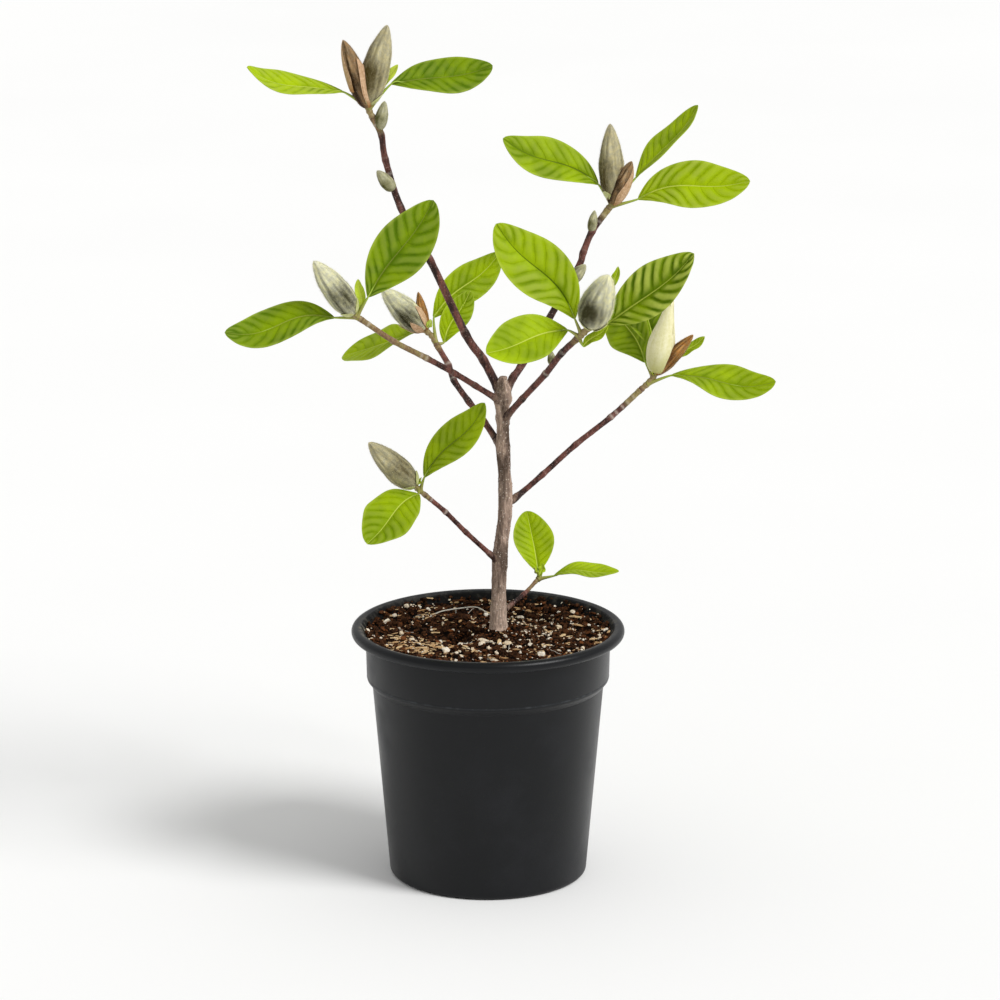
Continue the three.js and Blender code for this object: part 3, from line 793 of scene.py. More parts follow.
class Graph:
    """Adds nodes to one node tree and feeds their sockets."""

    def __init__(self, tree: bpy.types.NodeTree) -> None:
        """Takes a tree and empties it."""
        self.tree = tree
        tree.nodes.clear()

    def feed(self, socket: NodeSocket, value: object) -> None:
        """Feeds an input from another socket, or sets its value."""
        if isinstance(value, NodeSocket):
            self.tree.links.new(value, socket)
        else:
            socket.default_value = value

    def add(self, kind: str, feeds: dict | None = None, **settings: object) -> bpy.types.Node:
        """Adds a node.

        Args:
            kind: The node's type, without its "ShaderNode" prefix.
            feeds: Input socket names or numbers, with the value or socket that feeds each.
            settings: The node's own properties.

        Returns:
            The new node.
        """
        node = self.tree.nodes.new("ShaderNode" + kind)
        for name, value in settings.items():
            setattr(node, name, value)
        for key, value in (feeds or {}).items():
            self.feed(node.inputs[key], value)
        return node

    def maths(self, operation: str, *values: object) -> NodeSocket:
        """Adds a Math node on up to three values and gives its result."""
        return self.add("Math", dict(enumerate(values)), operation=operation).outputs[0]

    def times(self, *values: object) -> NodeSocket:
        """Multiplies values and gives the result."""
        return reduce(lambda first, second: self.maths("MULTIPLY", first, second), values)

    def scaled(self, value: object, factor: object, offset: object) -> NodeSocket:
        """Multiplies a value by a factor, adds an offset and gives the result."""
        return self.maths("MULTIPLY_ADD", value, factor, offset)

    def blend(self, share: object, low: object, high: object, how: str = "MIX") -> NodeSocket:
        """Adds a mix of two colours, each a hex code or a socket, and gives its result."""
        ends = [colour(end) if isinstance(end, str) else end for end in (low, high)]
        feeds = {0: share, 6: ends[0], 7: ends[1]}
        return self.add("Mix", feeds, data_type="RGBA", blend_type=how).outputs[2]

    def layered(self, base: object, *layers: Sequence) -> NodeSocket:
        """Lays colours over a base, each given after the share of it that shows."""
        return reduce(lambda body, layer: self.blend(layer[0], body, layer[1]), layers, base)

    def ranged(
        self, value: object, low: object, high: object, start: float = 0.0, end: float = 1.0,
    ) -> NodeSocket:
        """Adds a smooth step from start to end between two limits and gives its result."""
        feeds = {0: value, 1: low, 2: high, 3: start, 4: end}
        return self.add("MapRange", feeds, interpolation_type="SMOOTHSTEP").outputs[0]

    def faded(self, value: object, low: float, high: float) -> NodeSocket:
        """Adds a smooth step down from 1 to 0 between two limits and gives its result."""
        return self.ranged(value, low, high, 1.0, 0.0)

    def object_point(self) -> NodeSocket:
        """Gives the object's own coordinates."""
        return self.add("TexCoord").outputs["Object"]

    def split(self, vector: NodeSocket) -> tuple[NodeSocket, ...]:
        """Splits a vector into its three values."""
        return tuple(self.add("SeparateXYZ", {0: vector}).outputs)

    def mark(self, name: str = "mark") -> tuple[NodeSocket, ...]:
        """Gives the three values of one of the mesh's attributes."""
        return self.split(self.add("Attribute", attribute_name=name).outputs["Vector"])

    def effect(self, effect: "Effect", **feeds: object) -> bpy.types.NodeOutputs:
        """Places a shared effect, feeds its named inputs and gives its outputs."""
        node = self.add("Group", node_tree=effect.tree())
        for name, value in feeds.items():
            self.feed(node.inputs[name], value)
        return node.outputs

    def mottle(self, point: NodeSocket, patches: Patches) -> NodeSocket:
        """Places soft patches and gives their mask."""
        return self.effect(
            Mottle(), Vector=point, Scale=patches.scale, Detail=patches.detail,
            Low=patches.low, High=patches.high)[0]

    def freckles(self, point: NodeSocket, spots: Spots) -> NodeSocket:
        """Places small spots and gives their mask."""
        return self.effect(
            Freckles(), Vector=point, Scale=spots.scale, Size=spots.size, Share=spots.share)[0]

    def bump(self, height: NodeSocket, strength: float, depth: float) -> NodeSocket:
        """Gives the normal of a bump, from a height, a strength and a depth in millimetres."""
        feeds = {"Height": height, "Strength": strength, "Distance": depth * MM}
        return self.add("Bump", feeds).outputs[0]


class Effect:
    """A shader node group with named sockets, built once and shared by the finishes."""

    NAME = ""
    INPUTS: dict[str, str] = {}
    OUTPUTS: tuple[str, ...] = ("Mask",)

    def tree(self) -> bpy.types.NodeTree:
        """Gives the group, which is built at its first use."""
        built = bpy.data.node_groups.get(self.NAME)
        if built:
            return built
        tree = bpy.data.node_groups.new(self.NAME, "ShaderNodeTree")
        for name, kind in self.INPUTS.items():
            tree.interface.new_socket(name, in_out="INPUT", socket_type="NodeSocket" + kind)
        for name in self.OUTPUTS:
            tree.interface.new_socket(name, in_out="OUTPUT", socket_type="NodeSocketFloat")
        graph = Graph(tree)
        source = tree.nodes.new("NodeGroupInput").outputs
        drain = tree.nodes.new("NodeGroupOutput").inputs
        for name, socket in zip(self.OUTPUTS, self.build(graph, source)):
            tree.links.new(socket, drain[name])
        return tree

    def build(self, graph: Graph, source: bpy.types.NodeOutputs) -> Sequence[NodeSocket]:
        """Builds the group's nodes.

        Args:
            graph: The group's graph.
            source: The group's inputs.

        Returns:
            The socket that feeds each output.
        """
        raise NotImplementedError


class Mottle(Effect):
    """Soft uneven patches, from 0 to 1."""

    NAME = "mottle"
    INPUTS = {
        "Vector": "Vector", "Scale": "Float", "Detail": "Float", "Low": "Float", "High": "Float",
    }
    ROUGHNESS = 0.6

    def build(self, graph: Graph, source: bpy.types.NodeOutputs) -> Sequence[NodeSocket]:
        """Cuts noise at two limits. Args and Returns: see Effect."""
        feeds = {name: source[name] for name in ("Vector", "Scale", "Detail")}
        cloud = graph.add("TexNoise", {**feeds, "Roughness": self.ROUGHNESS})
        return [graph.ranged(cloud.outputs[0], source["Low"], source["High"])]


class Freckles(Effect):
    """Small spots, of which a share shows."""

    NAME = "freckles"
    INPUTS = {"Vector": "Vector", "Scale": "Float", "Size": "Float", "Share": "Float"}
    EDGE = 0.12

    def build(self, graph: Graph, source: bpy.types.NodeOutputs) -> Sequence[NodeSocket]:
        """Puts a spot in some cells. Args and Returns: see Effect."""
        cells = graph.add("TexVoronoi", {"Vector": source["Vector"], "Scale": source["Scale"]})
        near = graph.maths("SUBTRACT", source["Size"], cells.outputs["Distance"])
        chosen = graph.add("SeparateColor", {0: cells.outputs["Color"]}).outputs[0]
        kept = graph.maths("LESS_THAN", chosen, source["Share"])
        return [graph.times(graph.ranged(near, 0.0, self.EDGE), kept)]


class LeafVeins(Effect):
    """Veins of a blade; each pair of numbers holds the limits of a smooth step."""

    NAME = "leaf_veins"
    INPUTS = dict.fromkeys(("Across", "Along", "Half", "Count", "Rake", "Wobble"), "Float")
    # Veins and Pleat feed the painted shade in the vein valleys and the painted light on the
    # ridges between them.
    OUTPUTS = ("Veins", "Midrib", "Pleat", "Margin")
    STAGGER = 0.5
    EDGE_FADE = (0.6, 0.97)
    TIP_FADE = (0.76, 0.96)
    VALLEY = (0.03, 0.32)
    RIDGE = (0.25, 1.0)
    RIDGE_FOOT = (0.03, 0.3)
    MARGIN = (0.84, 1.0)
    RIB = (0.42, 0.1)
    RIB_EDGE = (-0.25, 0.15)

    def build(self, graph: Graph, source: bpy.types.NodeOutputs) -> Sequence[NodeSocket]:
        """Works out how near each vein is. Args and Returns: see Effect."""
        out = graph.maths("ABSOLUTE", source["Across"])
        bent = graph.times(graph.maths("POWER", out, VEIN_BEND), source["Rake"])
        offset = graph.times(graph.maths("GREATER_THAN", source["Across"], 0.0), self.STAGGER)
        along = graph.scaled(source["Along"], source["Count"], source["Wobble"])
        phase = graph.maths("ADD", graph.maths("SUBTRACT", along, bent), offset)
        wave = graph.maths("ABSOLUTE", graph.maths("SINE", graph.times(phase, math.pi)))
        fade = graph.times(
            graph.faded(out, *self.EDGE_FADE), graph.faded(source["Along"], *self.TIP_FADE))
        rib = graph.ranged(source["Along"], 0.0, 1.0, *self.RIB)
        beside = graph.maths("SUBTRACT", rib, graph.times(out, source["Half"]))
        return [
            graph.times(graph.faded(wave, *self.VALLEY), fade),
            graph.ranged(beside, *self.RIB_EDGE),
            graph.times(graph.ranged(wave, *self.RIDGE), graph.ranged(out, *self.RIDGE_FOOT)),
            graph.ranged(out, *self.MARGIN),
        ]


# ---------- finishes

@dataclass(frozen=True)
class Finish:
    """A procedural surface; each kind draws its own pattern.

    Its `bump` is the strength and the depth in millimetres of its relief, and its `extras`
    are set on the shader. A pair named for a mask is the factor and offset that scale it.
    """

    name: str

    specular = 0.2
    bump = (0.5, 0.12)
    extras = {}

    def material(self) -> bpy.types.Material:
        """Gives the material, which is built at its first use."""
        made = bpy.data.materials.get(self.name)
        if made:
            return made
        made = bpy.data.materials.new(self.name)
        made.use_nodes = True
        graph = Graph(made.node_tree)
        shader = graph.add("BsdfPrincipled")
        graph.add("OutputMaterial", {"Surface": shader.outputs[0]})
        body, roughness, height = self.draw(graph)
        feeds = {"Base Color": body, "Roughness": roughness, "Specular IOR Level": self.specular}
        if height is not None:
            feeds["Normal"] = graph.bump(height, *self.bump)
        for socket, value in {**feeds, **self.extras}.items():
            graph.feed(shader.inputs[socket], value)
        return made

    def draw(self, graph: Graph) -> tuple:
        """Draws the pattern.

        Args:
            graph: The material's graph.

        Returns:
            What feeds the base colour, the roughness and the height of the bump, if any.
        """
        raise NotImplementedError


@dataclass(frozen=True)
class LeafGreen(Finish):
    """A leaf's upper or lower side, with its veins, by the tint dealt to each leaf, with painted
    light on the ridges between veins and painted shade in the upper side's vein valleys and in
    dark midrib grooves.
    """

    fresh: str = "#aac404"
    deep: str = "#527000"
    vein: str = "#d0dc62"
    # Dark end of the midrib's colour, painted shade in its groove.
    shade: str = "#304900"
    # Upper side: painted shade in the vein valleys; lower side: pale raised veins.
    line: str = "#304900"
    roughness: float = 0.42

    specular = 0.07
    bump = (0.6, 0.35)
    drift = Patches(80.0, 1.0, 0.0, 1.0)
    wobble = (0.4, -0.2)
    patches = Patches(48.0, 5.0)
    uneven = (0.52, -0.18)
    least_pleat = 0.3
    # Painted light on the ridges between veins.
    pleat_light = 0.34
    margin_light = 0.22
    # Painted shade in the vein valleys, on the upper side.
    valley_shade = (0.12, 0.05)
    midrib = 0.75
    net_scale = 900.0
    net_line = 0.2
    net_height = 0.16
    vein_height = -0.8
    dulled = 0.14

    def draw(self, graph: Graph) -> tuple:
        """Draws pleats, veins, paler margins and a fine net. Args and Returns: see Finish."""
        point = graph.object_point()
        across, along, half = graph.mark()
        tone, rib, pleats = graph.mark("tint")
        wobble = graph.scaled(graph.mottle(point, self.drift), *self.wobble)
        veins = graph.effect(
            LeafVeins(), Across=across, Along=along, Half=half, Count=VEIN_COUNT,
            Rake=VEIN_RAKE, Wobble=wobble)
        patches = graph.mottle(point, self.patches)
        drifted = graph.maths("ADD", tone, graph.scaled(patches, *self.uneven))
        pleated = graph.times(graph.maths("ADD", patches, self.least_pleat), pleats)
        # Below, pleat ridges get painted light, vein valleys painted shade, and a dark rib painted
        # shade in the midrib's groove.
        spine = graph.blend(rib, self.shade, self.vein)
        body = graph.layered(
            graph.blend(drifted, self.fresh, self.deep),
            (graph.faded(tone, -1.0, 0.0), self.vein),
            (graph.times(veins["Pleat"], pleated, self.pleat_light), self.vein),
            (graph.times(veins["Margin"], self.margin_light), self.vein),
            (graph.times(veins["Veins"], graph.scaled(pleated, *self.valley_shade)), self.line),
            (graph.times(veins["Midrib"], self.midrib), spine),
        )
        feeds = {"Vector": point, "Scale": self.net_scale}
        net = graph.add("TexVoronoi", feeds, feature="DISTANCE_TO_EDGE").outputs[0]
        sunk = graph.times(
            graph.maths("MAXIMUM", veins["Veins"], veins["Midrib"]), self.vein_height)
        height = graph.scaled(graph.ranged(net, 0.0, self.net_line), self.net_height, sunk)
        return body, graph.scaled(patches, self.dulled, self.roughness), height


@dataclass(frozen=True)
class Bark(Finish):
    """Bark with patches, pale pores and ring scars; its marks say how tan and how old it is."""

    young: str = "#824f44"
    dark: str = "#28130e"
    tan: str = "#a6965f"
    old: str = "#8f7a68"
    pore: str = "#caa9a2"
    scar: str = "#e9dfd0"
    pores: Spots = Spots(760.0, 0.34, 0.5)
    pore_strength: float = 0.28
    roughness: float = 0.4
    specular: float = 0.25
    bump: tuple[float, float] = (0.7, 0.3)
    streak: float = 0.5
    stretch: float = 0.45

    wide = Patches(170.0, 6.0, 0.38, 0.62)
    fine = Patches(1000.0, 4.0)
    tan_patch = 0.6
    tiny_scale = 2.1
    tiny_share = 0.3
    tiny_strength = 0.7
    broken_ring = (0.0, 0.6, 0.5, 1.0)
    dulled = 0.2

    def draw(self, graph: Graph) -> tuple:
        """Draws patches, pores and scars. Args and Returns: see Finish."""
        point = graph.object_point()
        tan, ring, aged = graph.mark()
        squeeze = {"Vector": point, "Scale": (1.0, 1.0, self.stretch)}
        long = graph.add("Mapping", squeeze).outputs[0]
        wide, fine = graph.mottle(long, self.wide), graph.mottle(long, self.fine)
        small = Spots(self.pores.scale * self.tiny_scale, self.pores.size, self.tiny_share)
        tiny = graph.times(graph.freckles(point, small), self.tiny_strength)
        spots = graph.maths("MAXIMUM", graph.freckles(point, self.pores), tiny)
        body = graph.layered(
            graph.blend(wide, self.dark, self.young),
            (tan, graph.blend(graph.times(wide, self.tan_patch), self.tan, self.young)),
            (aged, graph.blend(wide, self.dark, self.old)),
            (graph.times(fine, self.streak), self.dark),
            (graph.times(spots, self.pore_strength), self.pore),
            (graph.times(ring, graph.ranged(wide, *self.broken_ring)), self.scar),
        )
        height = graph.maths("ADD", fine, spots)
        return body, graph.scaled(fine, self.dulled, self.roughness), height


@dataclass(frozen=True)
class Tissue(Finish):
    """Soft plant tissue with long fine streaks: petals, bud scales, stalks and green stems."""

    main: str
    second: str
    foot: str
    foot_reach: float = 0.25
    streaks: float = 16.0
    roughness: float = 0.45

    specular = 0.4
    lines = Patches(1.0, 3.0)
    fine = Patches(700.0, 4.0)
    line_breaks = 1.5

    def draw(self, graph: Graph) -> tuple:
        """Draws streaks along the piece and a tinted foot. Args and Returns: see Finish."""
        across, along, _ = graph.mark()
        lanes = {0: graph.times(across, self.streaks), 1: graph.times(along, self.line_breaks)}
        lines = graph.mottle(graph.add("CombineXYZ", lanes).outputs[0], self.lines)
        fine = graph.mottle(graph.object_point(), self.fine)
        share = graph.times(graph.maths("ADD", lines, fine), 0.5)
        body = graph.blend(share, self.main, self.second)
        low = graph.faded(along, 0.0, self.foot_reach)
        return graph.blend(low, body, self.foot), self.roughness, share


@dataclass(frozen=True)
class Fur(Finish):
    """Fine hairs, or the velvet skin under them, by their shade and paler towards the tip."""

    root: str
    tip: str
    warm: str

    specular = 0.1
    extras = {"Sheen Weight": 0.1, "Sheen Roughness": 0.35}
    roughness = 0.6
    tufts = Patches(420.0, 4.0, 0.35, 0.65)
    tip_paler = 0.12
    tuft_paler = 0.16
    darker = 0.08
    contrast = 1.5
    warmth = 0.6

    def draw(self, graph: Graph) -> tuple:
        """Blends by the hair's shade and length. Args and Returns: see Finish."""
        shade, along, _ = graph.mark()
        tuft = graph.mottle(graph.object_point(), self.tufts)
        pale = graph.maths("SUBTRACT", graph.scaled(along, self.tip_paler, shade), self.darker)
        pale = graph.maths("MAXIMUM", graph.scaled(tuft, self.tuft_paler, pale), 0.0)
        share = graph.maths("MINIMUM", graph.maths("POWER", pale, self.contrast), 1.0)
        body = graph.blend(share, self.root, self.tip)
        warm = graph.times(tuft, self.warmth)
        return graph.blend(warm, body, self.warm, "MULTIPLY"), self.roughness, None


@dataclass(frozen=True)
class Crumbs(Finish):
    """Loose pieces of the potting mix, each with its own shade."""

    light: str
    dark: str

    specular = 0.08
    bump = (0.7, 0.4)
    roughness = 0.85
    fine = Patches(900.0, 5.0)
    fine_share = 0.4

    def draw(self, graph: Graph) -> tuple:
        """Blends by the piece's shade with fine noise. Args and Returns: see Finish."""
        fine = graph.mottle(graph.object_point(), self.fine)
        shade = graph.times(graph.mark()[0], 1 - self.fine_share)
        share = graph.scaled(fine, self.fine_share, shade)
        return graph.blend(share, self.light, self.dark), self.roughness, fine


@dataclass(frozen=True)
class PotPlastic(Finish):
    """Thin black moulded plastic with fine scuffs, a dusty band round its mouth that also stands
    for a painted highlight at the front, painted highlight lines on its edges and painted shade
    inside the mouth; in metres.
    """

    body: str = "#07090c"
    worn: str = "#1b1c20"
    # Painted highlight colour for thin lines along the band's and lip's lower edges.
    edge_highlight: str = "#303336"
    # Painted shade colour inside the pot's mouth.
    dark: str = "#000000"
    # Colour of the dusty band round the mouth, which also stands for a painted highlight at its
    # front.
    dust_and_highlight: str = "#8f897c"

    specular = 0.25
    bump = (0.25, 0.08)
    gloss = (0.16, 0.34)
    wide = Patches(24.0, 6.0, 0.4, 0.8)
    fine = Patches(1400.0, 2.0)
    dust_and_highlight_patches = Patches(210.0, 7.0, 0.46, 0.66)
    worn_share = 0.6
    # Where the dusty band lies; its depth range keeps it strongest at the front, where it is also
    # a painted highlight.
    dust_and_highlight_height = (0.1495, 0.1525)
    dust_and_highlight_radius = (0.0775, 0.0797)
    dust_and_highlight_depth = (-0.03, 0.03, 1.0, 0.12)
    dust_and_highlight_share = 0.9
    # Heights of the painted highlight lines.
    highlight_edges = (0.1242, 0.1488)
    edge_reach = 0.0005
    edge_highlight_strength = (0.6, 0.3)
    # Radii over which the painted shade inside the mouth fades out.
    mouth_radius = (0.0755, 0.0772)
    throat = 0.1487
    dulled = 0.45

    def draw(self, graph: Graph) -> tuple:
        """Draws scuffs, painted highlight lines on the edges, painted shade inside the mouth and a
        dusty band that is also a painted highlight at the front. Args and Returns: see Finish.
        """
        point = graph.object_point()
        wide, fine, dust_and_highlight_patches = (
            graph.mottle(point, patches) for patches in (self.wide, self.fine, self.dust_and_highlight_patches))
        x, y, z = graph.split(point)
        radius = graph.maths("SQRT", graph.scaled(x, x, graph.times(y, y)))
        # Dust round the mouth, strongest at the front, where it also stands for a painted
        # highlight.
        dust_and_highlight_mask = graph.times(
            graph.faded(radius, *self.dust_and_highlight_radius), graph.ranged(y, *self.dust_and_highlight_depth),
            graph.ranged(z, *self.dust_and_highlight_height), dust_and_highlight_patches)
        # Painted highlight lines at the band's and lip's edges, broken up by noise.
        edges = graph.maths("MAXIMUM", *(
            graph.maths("COMPARE", z, edge, self.edge_reach) for edge in self.highlight_edges))
        # Painted shade: the inside of the mouth is painted black and dulled.
        throat = graph.maths("GREATER_THAN", z, self.throat)
        mouth = graph.times(graph.faded(radius, *self.mouth_radius), throat)
        tone = graph.layered(
            graph.blend(graph.times(wide, self.worn_share), self.body, self.worn),
            (graph.times(edges, graph.scaled(dust_and_highlight_patches, *self.edge_highlight_strength)), self.edge_highlight),
            (mouth, self.dark),
            (graph.times(dust_and_highlight_mask, self.dust_and_highlight_share), self.dust_and_highlight),
        )
        dull = graph.maths("MAXIMUM", dust_and_highlight_mask, mouth)
        return tone, graph.scaled(dull, self.dulled, graph.scaled(wide, *self.gloss)), fine


@dataclass(frozen=True)
class PotEarth(Finish):
    """Dark moist potting mix with reddish flecks."""

    dark: str = "#040201"
    brown: str = "#2a170e"
    fleck: str = "#8a5230"

    specular = 0.05
    bump = (0.9, 1.5)
    roughness = 0.85
    clods = Patches(190.0, 8.0, 0.42, 0.66)
    flecks = Spots(560.0, 0.4, 0.25)
    fleck_share = 0.7

    def draw(self, graph: Graph) -> tuple:
        """Draws clods and flecks. Args and Returns: see Finish."""
        point = graph.object_point()
        clods = graph.mottle(point, self.clods)
        flecks = graph.times(graph.freckles(point, self.flecks), self.fleck_share)
        body = graph.blend(flecks, graph.blend(clods, self.dark, self.brown), self.fleck)
        return body, self.roughness, clods


@dataclass(frozen=True)
class StudioPaint(Finish):
    """Plain pale floor paint."""

    tone: str = "#fcfcfb"
    faint: str = "#f9f9f8"

    roughness = 0.85
    clouds = Patches(2.0, 2.0, 0.0, 1.0)

    def draw(self, graph: Graph) -> tuple:
        """Draws a faintly uneven matte white. Args and Returns: see Finish."""
        clouds = graph.mottle(graph.object_point(), self.clouds)
        return graph.blend(clouds, self.tone, self.faint), self.roughness, None


LEAF_TOP = LeafGreen("leaf_upper_side")
LEAF_UNDER = LeafGreen(
    "leaf_lower_side", "#aec62c", "#7b9814", "#d8e28c", "#7c9420", "#eef2b4", 0.55)
GREEN_STEM = Tissue("green_stem", "#a39562", "#84694a", "#664638", 0.4, 6.0)
PETIOLE_SKIN = Tissue("leaf_stalk", "#a8c244", "#8aa32c", "#97904c", 0.3)
GREEN_SCALE = Tissue("green_bud_scale", "#d3d39a", "#a7ab5e", "#7e7a42", 0.4)
TAN_SCALE = Tissue("tan_bud_scale", "#e2c09c", "#9a7046", "#a5753c", roughness=0.7)
BROWN_SCALE = Tissue("brown_bud_scale", "#8d6338", "#5b3a1c", "#4d2d18", roughness=0.6)
CREAM_PETAL = Tissue("cream_petal", "#f3eecb", "#ddd79a", "#bdbb72", 0.4, 9.0, 0.4)
BARK_YOUNG = Bark("young_bark_skin")
BARK_OLD = Bark(
    "old_bark_skin", young="#dcc0ae", dark="#3a2a20", tan="#e2c8b4", old="#a98d7b",
    pore="#f2e2d2", pores=Spots(560.0, 0.34, 0.4), pore_strength=0.5, roughness=0.7,
    specular=0.1, bump=(0.7, 0.6), streak=0.55, stretch=0.22)
SILVER_FUR = Fur("silver_fur", "#3a371e", "#fffee2", "#f6f1c8")
TAUPE_FUR = Fur("taupe_fur", "#4c4016", "#fbf5d2", "#f3e8c0")
BROWN_FUR = Fur("brown_fur", "#5c4020", "#f4e4cc", "#ecd8b6")
GREEN_FUR = Fur("side_bud_fur", "#55521f", "#fbf8dc", "#eeeac4")
BROWN_CORE = Fur("bud_core_brown", "#36240c", "#dcbc90", "#e4c69c")
HUSK = Fur("orange_husk", "#4a2a08", "#e8b66e", "#f0bc70")
POT_PLASTIC = PotPlastic("black_pot_plastic")
EARTH = PotEarth("potting_mix")
BARK_CRUMBS = Crumbs("bark_crumbs", "#040201", "#5b3820")
RED_BARK = Crumbs("red_bark_pieces", "#85502c", "#2a160a")
PALE_ROOT = Crumbs("pale_root", "#e6e2d6", "#a0978a")
CHIPS = Crumbs("wood_chips", "#edd3a6", "#a2713f")
PERLITE = Crumbs("white_grains", "#fbf6ea", "#dcc39c")
FLOOR_PAINT = StudioPaint("studio_floor_paint")
WRAP_FINISHES = {Husk.GREEN: GREEN_SCALE, Husk.TAN: TAN_SCALE, Husk.BROWN: BROWN_SCALE}


# ---------- pot and potting mix

@dataclass
class NurseryPot:
    """The thin moulded pot with its rolled lip, band and drain holes.

    An arc is its first and last turn in degrees and its number of chords. An edge is how far
    each point of the section lies out from and over the band or the mouth.
    """

    segments: int = 192
    crease: float = 32.0
    foot_arc: Sequence[int] = (-90, 0, 5)
    lip_arc: Sequence[int] = (-80, 90, 12)
    wall_steps: int = 12
    band_edge: Sequence[Sequence[float]] = (
        (-1.1, -2.2), (-0.3, -1.2), (0, 0), (-0.25, 0.8), (0, 1.6))
    band_top: Sequence[float] = (0.45, -4)
    mouth_edge: Sequence[Sequence[float]] = ((1.5, -0.1), (0, -POT.mouth_drop), (-1.4, -2.4))
    drill_sides: int = 24

    def profile(self) -> list[tuple[float, float]]:
        """Gives the pot's section, from its underside to its floor.

        Returns:
            Its points as radius and height in millimetres.
        """
        half = (POT.height - POT.lip_under) / 2
        foot, band, bore = POT.foot_corner, POT.band_radius, POT.band_radius - POT.wall
        rises = [i / self.wall_steps for i in range(1, self.wall_steps + 1)]
        wall = [lerp(foot, POT.step_height, rise) for rise in rises]
        out, down = self.band_top
        return [
            (0, 0), *self.arc(POT.foot_radius, foot, foot, *self.foot_arc),
            *((POT.wall_radius(height), height) for height in wall),
            *((band + over, POT.band_height + up) for over, up in self.band_edge),
            (band + out, POT.lip_under + down), (band + POT.band_draft, POT.lip_under),
            *self.arc(POT.lip_radius - half, POT.height - half, half, *self.lip_arc),
            *((POT.mouth_radius + over, POT.height + up) for over, up in self.mouth_edge),
            (bore + POT.band_draft, POT.throat_height), (bore, POT.band_height),
            (POT.wall_radius(POT.step_height) - POT.wall, POT.step_height - 1),
            (POT.wall_radius(foot) - POT.wall, foot + 1),
            (POT.foot_radius - POT.wall, POT.floor), (0, POT.floor),
        ]

    @staticmethod
    def arc(x: float, y: float, radius: float, start: float, end: float, steps: int) -> list:
        """Gives the points of an arc round a centre, from its start to its end in degrees."""
        turns = [math.radians(lerp(start, end, i / steps)) for i in range(steps + 1)]
        return [(x + radius * math.cos(turn), y + radius * math.sin(turn)) for turn in turns]

    def build(self) -> None:
        """Spins the section, dresses the pot and bores its drain holes."""
        bm = spun(self.profile(), self.segments)
        self.bore(finished("nursery_pot", bm, [POT_PLASTIC], "pot", ["pot"], self.crease))

    def bore(self, piece: bpy.types.Object) -> None:
        """Cuts the drain holes through the floor.

        Args:
            piece: The pot.
        """
        bm = bmesh.new()
        radius, floor = POT.drain_radius * MM, POT.floor * MM
        for i in range(POT.drain_holes):
            place = direction(360 * i / POT.drain_holes, 0) * POT.drain_circle * MM
            place.z = floor / 2
            bmesh.ops.create_cone(
                bm, cap_ends=True, segments=self.drill_sides, radius1=radius, radius2=radius,
                depth=2 * floor, matrix=Matrix.Translation(place))
        drill = placed("drill", written("drill", bm))
        cut = piece.modifiers.new("drain holes", "BOOLEAN")
        cut.operation, cut.solver, cut.object = "DIFFERENCE", "EXACT", drill
        solved = piece.evaluated_get(bpy.context.evaluated_depsgraph_get())
        mesh = bpy.data.meshes.new_from_object(solved)
        piece.modifiers.clear()
        piece.data = mesh
        bpy.data.objects.remove(drill)


@dataclass(frozen=True)
class Heap:
    """A heap of loose pieces: its place, its size and the share of them that lies there."""

    x: float = 0.0
    y: float = 0.0
    width: float = 1.0
    share: float = 0.0


@dataclass(frozen=True)
class Litter:
    """One kind of loose piece in the mix: how many, their half-sizes and how they lie.

    They clump from 0, evenly strewn, to 1, all in clumps. A higher skew makes more of them
    small, and a higher power more of them dark; in the hollow they are darkened as painted shade.
    """

    name: str
    finish: Finish
    slot: str
    count: int
    least: Sequence[float]
    most: Sequence[float]
    sink: float = 0.2
    tilt: float = math.pi
    steps: int = 1
    clumping: float = 0.0
    skew: float = 2.6
    heap: Heap = Heap()
    power: float = 1.0
    hollow_painted_shade: float = 0.0


LITTERS = (
    Litter(
        "bark_crumbs", BARK_CRUMBS, "soil", 5200, (0.4, 0.3, 0.25), (3.2, 2.2, 1.6), power=1.4,
        hollow_painted_shade=0.8),
    Litter(
        "red_bark_pieces", RED_BARK, "soil", 560, (0.5, 0.35, 0.25), (3.6, 1.8, 1.1), -0.3, 0.7),
    Litter(
        "wood_chips", CHIPS, "soil", 430, (0.7, 0.3, 0.2), (5.6, 1.5, 0.7), -0.6, 0.5,
        clumping=0.6, heap=Heap(-42, -26, 13, 0.42)),
    Litter(
        "white_grains", PERLITE, "soil_grains", 480, (0.35, 0.35, 0.3), (2.4, 2.0, 1.5), -0.4,
        clumping=0.5, skew=3.6, heap=Heap(40, 4, 20, 0.35)),
    Litter(
        "white_lumps", PERLITE, "soil_grains", 36, (1.2, 1.1, 0.9), (3.8, 2.8, 2.0), -0.4,
        steps=2, clumping=0.4, heap=Heap(2, -32, 12, 0.4)),
)


